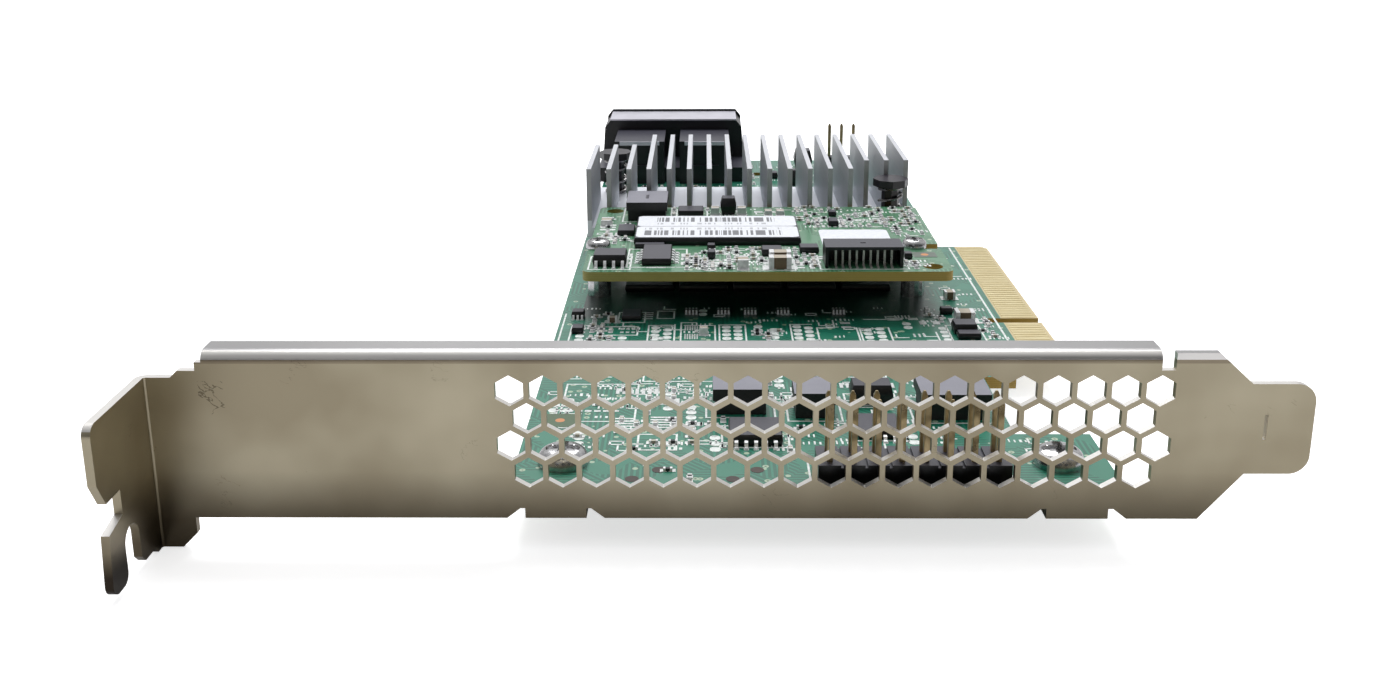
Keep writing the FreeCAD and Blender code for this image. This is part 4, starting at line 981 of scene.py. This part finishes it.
# %% [markdown]
# ## Resistor packs
#
# A resistor pack is one dark brick with four short caps on each long side, which stand on four
# pads that reach out past the brick.

# %% Resistor packs
pack_bodies, pack_caps, pack_pads = [], [], []
for lowest, highest in node_solids("resistor_networks"):
    wide, long, high = highest - lowest
    x, y, foot = seat(lowest, highest)
    pack_bodies.append(block(wide, long - 0.2, high).at(x, y, foot))
    steps = x + (np.arange(4) - 1.5) * wide / 4
    for side in (-1, 1):
        row = np.stack([steps, 0 * steps + y + side * (long / 2 - 0.14), 0 * steps + foot], 1)
        pack_caps.append(scatter(UNIT, row, [[wide / 7, 0.3, high + 0.03]]))
        pack_pads.append(scatter(UNIT, row + [0, side * 0.3, 0], [[wide / 6, 0.7, 0.06]]))
add_piece("resistor_packs", join(pack_bodies), glaze, "resistor_black", "resistor_networks")
add_piece("resistor_pack_caps", join(pack_caps + pack_pads), tin, "lead_tin")

# %% [markdown]
# ## Pin headers
#
# Each pin is square wire with a small pyramid at both ends, pressed through a black strip that
# is notched between pins. Each packed pin gives its own place, thickness and length.

# %% Headers
TIP, TIP_SHARE = 0.45, 0.4
for prefix in ("header", "rear_header"):
    pins = []
    for lowest, highest in node_solids(prefix + "_pins"):
        half = (highest[0] - lowest[0]) / 2
        x, y, _ = seat(lowest, highest)
        point = half * TIP_SHARE
        levels = [(point, point, 0.02, lowest[2]), (half, half, 0.04, lowest[2] + TIP)]
        levels += [(half, half, 0.04, highest[2] - TIP), (point, point, 0.02, highest[2])]
        pins.append(pile(levels, 1).at(x, y))
    add_piece(prefix + "_square_pins", join(pins), pin_brass, "contact_gold", prefix + "_pins")
dress(port_plastic, "header_strip", "rear_header_strip")

# %% [markdown]
# ## Print and bare pads on the boards
#
# White ink outlines each part's place, and rows of empty pads wait for parts that this version of
# the card leaves out. Both are plates a few hundredths of a millimetre thick.

# %% Ink and pads
INK, LINE = 0.03, 0.24


def stroke(x0, y0, x1, y1, wide=LINE):
    """A straight inked line: a flat block between two corners."""
    middle = ((x0 + x1) / 2, (y0 + y1) / 2, 0.0)
    return middle, (abs(x1 - x0) + wide, abs(y1 - y0) + wide, INK)


def frame_lines(x, y, wide, long):
    """Four strokes round a rectangle."""
    x0, x1, y0, y1 = x - wide / 2, x + wide / 2, y - long / 2, y + long / 2
    return [stroke(x0, y0, x1, y0), stroke(x0, y1, x1, y1), stroke(x0, y0, x0, y1), stroke(x1, y0, x1, y1)]


def pill(x, y, wide=1.25, long=1.3, line=0.19):
    """The outline of an empty place for a small part: a ring with rounded ends."""
    outer = (wide / 2, long / 2, 0.42 * min(wide, long))
    inner = (wide / 2 - line, long / 2 - line, 0.2 * min(wide, long))
    rings = [(*outer, 0), (*outer, INK), (*inner, INK), (*inner, 0.001)]
    return pile(rings, 3).at(x, y)


def marks(x, y, count, seed, pitch=0.62, high=0.8):
    """A short row of plain ticks of uneven width, as small as print that can't be read."""
    chance = np.random.default_rng(seed)
    wide = pitch * (0.35 + 0.4 * chance.random(count))
    tall = high * (0.5 + 0.5 * chance.random(count))
    left = x + np.arange(count) * pitch
    return [stroke(a, y, a + max(w - LINE, 0.02), y + h, 0.14) for a, w, h in zip(left, wide, tall)]


def sprinkle(x_range, y_range, count, seed):
    """Rows of ticks, short lines and corners at places drawn by chance within a rectangle."""
    chance = np.random.default_rng(seed)
    strokes = []
    for index in range(count):
        x, y = chance.uniform(*x_range), chance.uniform(*y_range)
        kind = chance.random()
        if kind < 0.55:
            strokes += marks(x, y, 2 + index % 4, seed + index)
        elif kind < 0.8:
            strokes += [stroke(x, y, x + 1.6, y), stroke(x, y, x, y + 1.3)]
        else:
            strokes += frame_lines(x, y, 1.5, 0.9)
    return strokes


def ink(piece, strokes, shapes, corner, floor):
    """All the strokes and outlines of one board in one piece."""
    places = np.array([place for place, _ in strokes]) + [corner[0], corner[1], floor]
    sizes = np.array([size for _, size in strokes])
    parts = [scatter(UNIT, places, sizes)]
    parts += [shape.at(corner[0], corner[1], floor) for shape in shapes]
    add_piece(piece, join(parts), white_ink, "label_paper")


# %% [markdown]
# ## What is printed where
#
# The tables below are places in millimetres from each board's corner. The print has upright and
# level lines, frames round parts, columns of empty places, and sprinkled ticks in the spaces.

# %% Print of the main board
PILL_STEP = 1.6
UPRIGHTS = ((0.6, 46, 60.2), (2, 44, 54.8), (5.8, 50.8, 54.4), (11.4, 50.8, 54.4), (12.9, 44, 55),
            (16.6, 47, 55.4), (17.5, 44, 56.2), (22.3, 44, 54.8), (22.9, 44, 55), (26.6, 44, 55),
            (33, 44, 55.4), (36.7, 44, 53.9), (39.2, 53.9, 57.2), (42.3, 46, 53.9), (42.7, 44, 53.4),
            (46.8, 46, 54), (53.2, 44, 52))
LEVELS = ((2, 5, 55), (5.8, 11.4, 54.4), (5.8, 11.4, 50.8), (12.9, 16.6, 55), (18, 22.3, 55),
          (22.9, 26.6, 55.2), (33, 36, 55.4), (36.7, 39.2, 53.9), (42.7, 45.2, 53.6),
          (17.5, 19.6, 56.2), (43.8, 48.2, 57.6))
MAIN_FRAMES = ((10.3, 58.6, 3.8, 4.6), (15.2, 59.8, 2.4, 3.4), (25.1, 25.2, 8.2, 8), (33.9, 23.6, 6.4, 7),
               (50.4, 23.6, 9.8, 8.2), (41.1, 26.6, 6.2, 4.4), (15.4, 14, 4.4, 4.4),
               (42.9, 5.1, 21.6, 6.4), (57.3, 51.2, 4.6, 7.4), (8, 26, 9, 12), (38, 38, 12, 7),
               (18, 37, 10, 8), (26.6, 15.6, 7.6, 6.2), (40.8, 17.4, 6.4, 6), (3.4, 36.4, 3.2, 5))
MAIN_TICKS = (((2, 53), (17.4, 43.6), 190, 200), ((6, 22), (24, 38), 60, 207),
              ((2, 60), (11.6, 15.6), 40, 201), ((1.4, 56), (44.4, 62.6), 60, 202),
              ((56.6, 60.6), (46, 62.6), 14, 203), ((57.6, 61), (64, 95), 14, 204),
              ((31, 58), (129, 164), 60, 205), ((1.4, 28), (129, 144), 24, 206))
PILLS_DOWN = ((3.4, 53.6, 5), (6.2, 49.6, 3), (7.6, 49.6, 3), (9.4, 49.6, 3), (13.9, 54, 6), (15.6, 53, 5),
              (19, 47.6, 3), (23.9, 54.2, 6), (25.5, 54.2, 6), (28.4, 54.4, 3), (30.6, 53, 4),
              (33.9, 54.4, 6), (35.5, 53.8, 6), (43.7, 53, 5), (45.5, 53.4, 5), (54.4, 53.6, 5),
              (58.8, 47.4, 2), (20.6, 61.6, 2), (49.6, 55.6, 2))
PILLS_UP = ((22, 12, 3), (30.2, 31.6, 5), (6.4, 12, 4), (52, 31.2, 5), (44.6, 14, 2), (10.4, 36, 5),
            (12.2, 36, 5), (34.4, 33.6, 4), (28.2, 33, 5), (2.6, 18.6, 6), (4.2, 18.6, 6),
            (19.2, 18, 6), (46, 33.4, 5), (47.6, 33.4, 5), (16.4, 24, 4))
main_strokes = [stroke(62.5, 46.0, 62.5, 95.6, 0.3)]
main_strokes += [stroke(x, y0, x, y1) for x, y0, y1 in UPRIGHTS]
main_strokes += [stroke(x0, y, x1, y) for x0, x1, y in LEVELS]
main_strokes += [line for row in MAIN_FRAMES for line in frame_lines(*row)]
main_strokes += [line for row in MAIN_TICKS for line in sprinkle(*row)]
main_pills = [pill(x, y - PILL_STEP * step) for x, y, count in PILLS_DOWN for step in range(count)]
main_pills += [pill(x, y + PILL_STEP * step) for x, y, count in PILLS_UP for step in range(count)]
ink("main_board_print", main_strokes, main_pills, main_corner, main_top)

# %% [markdown]
# The upper board is printed in the same way: frames round its chips, ticks between them, and the
# outlines of empty places in columns.

# %% Print of the upper board
MODULE_FRAMES = ((3.75, 4.6, 6, 6.8), (10.5, 7.1, 8.6, 9.6), (8.1, 32.9, 7.8, 9.2), (40.3, 4.4, 12.6, 6.4),
                 (15.4, 34.2, 5, 4.6), (27, 9.2, 3.8, 3.6), (28.3, 3.5, 4.2, 5.6))
MODULE_TICKS = (((15, 33), (1, 12.6), 46, 300), ((32.6, 50.4), (24.6, 36.4), 44, 301),
                ((1.2, 7), (15, 29.6), 12, 302), ((46.4, 49), (1, 5.8), 5, 303),
                ((17.6, 31), (32, 36.6), 12, 304), ((46.8, 50.6), (19, 24), 6, 305))
MODULE_PILLS = (((1.4, 2.8), (17.4, 18.8, 23.4, 24.8, 26.2)), ((19.2, 20.6), (3.2, 4.6, 6, 9.4, 10.8)))
module_strokes = [line for row in MODULE_FRAMES for line in frame_lines(*row)]
module_strokes += [line for row in MODULE_TICKS for line in sprinkle(*row)]
module_pills = [pill(x, y, 1.1, 1.0, 0.18) for across, down in MODULE_PILLS for x in across for y in down]
ink("module_print", module_strokes, module_pills, module_low, module_top)

# %% [markdown]
# Bare pads are copper with a skin of solder. Each row is one line of a table, and all the pads of
# a board are one piece.

# %% Bare pads
def pads(piece, rows, corner, floor):
    """Rows of tinned pads: x, y, the size along X and Y, how many, and the step in X and Y."""
    places, sizes = [], []
    for x, y, wide, long, count, step_x, step_y in rows:
        index = np.arange(count)
        places.append(np.stack([x + index * step_x, y + index * step_y, 0 * index], 1))
        sizes.append(np.tile([wide, long, 0.045], (count, 1)))
    places = np.concatenate(places) + [corner[0], corner[1], floor]
    add_piece(piece, scatter(UNIT, places, np.concatenate(sizes)), solder, "lead_tin")


MODULE_PADS = ((10.5, 2.2, 2.8, 0.6, 1, 1, 0), (14.2, 4.4, 0.4, 1.2, 3, 0, 2.2),
               (6.6, 4.4, 0.4, 1.2, 3, 0, 2.2), (31, 2, 1.6, 0.7, 3, 0, 1.25),
               (32.9, 2, 0.7, 1.1, 3, 0, 1.5), (23, 35.4, 1.5, 0.6, 1, 1, 0),
               (34, 6.6, 1.8, 0.6, 2, 0, 1), (2.6, 20.2, 0.9, 2.6, 2, 1.3, 0),
               (4.6, 26.4, 1.6, 1.1, 1, 1, 0), (26.4, 34.6, 1.4, 0.9, 2, 2, 0),
               (49.4, 26, 1.2, 1.6, 1, 1, 0), (45.4, 27.4, 1.4, 0.6, 4, 0, 1.3),
               (36.4, 25.2, 0.5, 1.3, 6, 0.9, 0), (36.4, 29, 0.5, 1.3, 6, 0.9, 0))
MAIN_PADS = ((12.6, 58, 1.5, 0.3, 4, 0, 0.9), (48.6, 57.8, 1.4, 0.9, 2, 2.2, 0),
             (18.1, 54, 0.22, 2.4, 6, 0.34, 0), (18.1, 50.2, 0.22, 2.2, 6, 0.34, 0),
             (52, 56, 1, 1.4, 2, 1.9, 0), (40.9, 54.2, 1.4, 0.7, 2, 0, 1.8),
             (24.6, 20.4, 0.8, 0.45, 4, 1.1, 0), (4.6, 23.2, 0.8, 0.45, 6, 1.1, 0),
             (9.2, 52, 0.5, 0.6, 3, 0.8, 0), (9.2, 53.4, 0.5, 0.6, 3, 0.8, 0),
             (43.8, 20, 0.45, 1.2, 3, 0.8, 0), (38, 31.6, 0.45, 1.6, 9, 0.8, 0),
             (8, 44.6, 1, 0.5, 3, 1.6, 0), (17.4, 26.4, 0.7, 1.6, 2, 2.1, 0),
             (54.6, 38, 1.6, 1.1, 2, 0, 2.2), (5, 38.6, 1.4, 1, 3, 0, 1.9),
             (10, 29.6, 0.45, 1.8, 8, 0.8, 0), (18.4, 39.6, 1.6, 1, 3, 2.6, 0),
             (11.3, 17.8, 2.6, 0.34, 5, 0, 0.76), (15.8, 18.2, 2.8, 0.34, 5, 0, 0.76),
             (48.4, 58.6, 0.24, 1.5, 5, 0.5, 0), (50, 50.6, 0.3, 1.3, 3, 0.7, 0),
             (57.9, 57, 1.3, 0.8, 2, 0, 1.5))
pads("module_pads", MODULE_PADS, module_low, module_top)
pads("main_pads", MAIN_PADS, main_corner, main_top)

# %% [markdown]
# ## Marks for the assembly machine
#
# A machine that sets the parts finds the board by round copper marks in bare windows of the
# varnish. Four drilled holes near the bracket are filled with brown resin. The inductor has a slot
# moulded in its top, and a dark strip laid on the top stands for it: painted shade where the
# recess is.

# %% Machine marks, filled holes and the inductor's slot
# The square of the copper mark's radius
COPPER_SPREAD = 0.32


def fiducial(name, corner, floor, x, y, wide, long, ground):
    """A window in the varnish over bare laminate, with a round copper mark in its middle."""
    centre = np.array([x + corner[0], y + corner[1], floor])
    window = Finish(name, ground, 0.5)
    x, y, _ = window.place()
    spread = (x - centre[0]) * (x - centre[0]) + (y - centre[1]) * (y - centre[1])
    weave = window.noise(window.point(x, y), 2.5, 2.0)
    cloth = window.mix(weave, ground, tuple(1.15 * value for value in ground))
    window.feed("Base Color", window.mix(spread < COPPER_SPREAD, cloth, (206, 138, 88)))
    add_piece(name, scatter(UNIT, centre, [wide, long, 0.04]), window, "label_paper")


fiducial("module_fiducial", module_low, module_top, 49.9, 8.7, 3.4, 2.7, (92, 102, 94))
fiducial("board_fiducial", main_corner, main_top, 3.7, 20.3, 4.4, 4.0, (70, 92, 66))
drill_rim = moulded("drill_rim", (40, 22, 10), 0.5, 3.0, 0.1)
DRILLS = ((13.0, 4.3), (15.8, 6.6), (23.8, 4.3), (26.5, 6.6))
disc = lathe([(0.75, 0), (0.75, 0.03), (0.6, 0.035)], 16)
spots = [disc.at(x + main_corner[0], y, main_top) for x, y in DRILLS]
add_piece("filled_drill_holes", join(spots), drill_rim, "label_paper")
inductor_low, inductor_high = box_of("power_inductor")
# Painted shade: a flat dark strip on the inductor's top stands for the shade in its slot.
slot_at = (inductor_low + inductor_high) / 2 * [1, 1, 0] + [0, 0, inductor_high[2] - 0.02]
add_piece("inductor_slot_painted_shade", scatter(UNIT, slot_at, [0.5, 2.4, 0.05]), epoxy, "chip_plastic")

# %% [markdown]
# ## Floor and light
#
# A wide pale sheet lies under the card. It is lifted to white for the camera alone, so its shadow
# stays and it throws no more light on the card than paper does. One large soft lamp stands above
# and behind, where it shines along the boards and on the folded edge, and a weak one fills the
# front.

# %% Floor and lamps
FLOOR_HALF, FLOOR_GAP = 6.0, 0.0002
OVERHEAD_POWER, FRONT_POWER = 4.4, 0.1
sheet = bpy.data.meshes.new("floor")
corners = np.array([[-1, -1, 0], [1, -1, 0], [1, 1, 0], [-1, 1, 0]]) * FLOOR_HALF
corners[:, 2] = low[2] - FLOOR_GAP
sheet.from_pydata(corners.tolist(), [], [(0, 1, 2, 3)])
floor = put("floor", sheet)
floor_paint = Finish("floor_paint", (244, 244, 246), 0.9)
speck = floor_paint.noise(floor_paint.point(*floor_paint.place()), 0.02, 2.0)
floor_paint.feed("Base Color", floor_paint.mix(speck, (243, 243, 246), (246, 246, 248)))
seen_directly = floor_paint.node("ShaderNodeLightPath", {}, {}, "Is Camera Ray")
floor_paint.feed("Emission Color", floor_paint.mix(seen_directly, (0, 0, 0), (214, 214, 214)))
floor_paint.feed("Emission Strength", 1.0)
sheet.materials.append(floor_paint.material)
floor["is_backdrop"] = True


def lamp(name, at, aim, size, power):
    """A square soft lamp, placed and aimed in millimetres."""
    light = bpy.data.lights.new(name, "AREA")
    light.shape, light.size, light.energy = "SQUARE", size * MM, power
    holder = put(name, light)
    holder.location = Vector(at) * MM
    holder.rotation_euler = (Vector(aim) - Vector(at)).to_track_quat("-Z", "Y").to_euler()


lamp("overhead", (-60, 420, 650), (-40, 60, 0), 460, OVERHEAD_POWER)
lamp("front_fill", (-250, -600, 350), (-30, 0, 5), 300, FRONT_POWER)

# %% [markdown]
# ## The world
#
# Polished metal shows what is around it, so the world is not one tone: it is brighter above and
# behind than in front, as a room with a lit back wall is. The camera itself sees plain white.

# %% World
AMBIENT, DIMMEST, LEVEL_SHARE, REAR_TILT, UP_TILT = 0.66, 0.1, 0.3, 0.85, 0.9
world = bpy.data.worlds.new("studio")
bpy.context.scene.world = world
world.use_nodes = True
tree = world.node_tree
background = tree.nodes["Background"]
path = tree.nodes.new("ShaderNodeLightPath")
direction = tree.nodes.new("ShaderNodeTexCoord")


def world_math(operation, *values):
    """A Math node of the world, fed by numbers and by other nodes' sockets."""
    node = tree.nodes.new("ShaderNodeMath")
    node.operation = operation
    for index, value in enumerate(values):
        if isinstance(value, bpy.types.NodeSocket):
            tree.links.new(value, node.inputs[index])
        else:
            node.inputs[index].default_value = value
    return node.outputs[0]


split = tree.nodes.new("ShaderNodeSeparateXYZ")
tree.links.new(direction.outputs["Generated"], split.inputs[0])
rearward = world_math("MULTIPLY_ADD", split.outputs["Y"], REAR_TILT, LEVEL_SHARE)
skyward = world_math("MULTIPLY_ADD", split.outputs["Z"], UP_TILT, rearward)
share = world_math("MINIMUM", world_math("MAXIMUM", skyward, 0.0), 1.0)
soft = world_math("MULTIPLY_ADD", share, AMBIENT * (1 - DIMMEST), AMBIENT * DIMMEST)
seen = world_math("MAXIMUM", path.outputs["Is Camera Ray"], path.outputs["Is Transmission Ray"])
background.inputs["Color"].default_value = (1, 1, 1, 1)
tree.links.new(world_math("MAXIMUM", soft, seen), background.inputs["Strength"])
bpy.context.scene.view_settings.view_transform = "Standard"
print("world:", world.name)

# %% [markdown]
# ## The last measure
#
# The box of the dressed card is measured once more.

# %% Measure and finish
low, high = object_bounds()
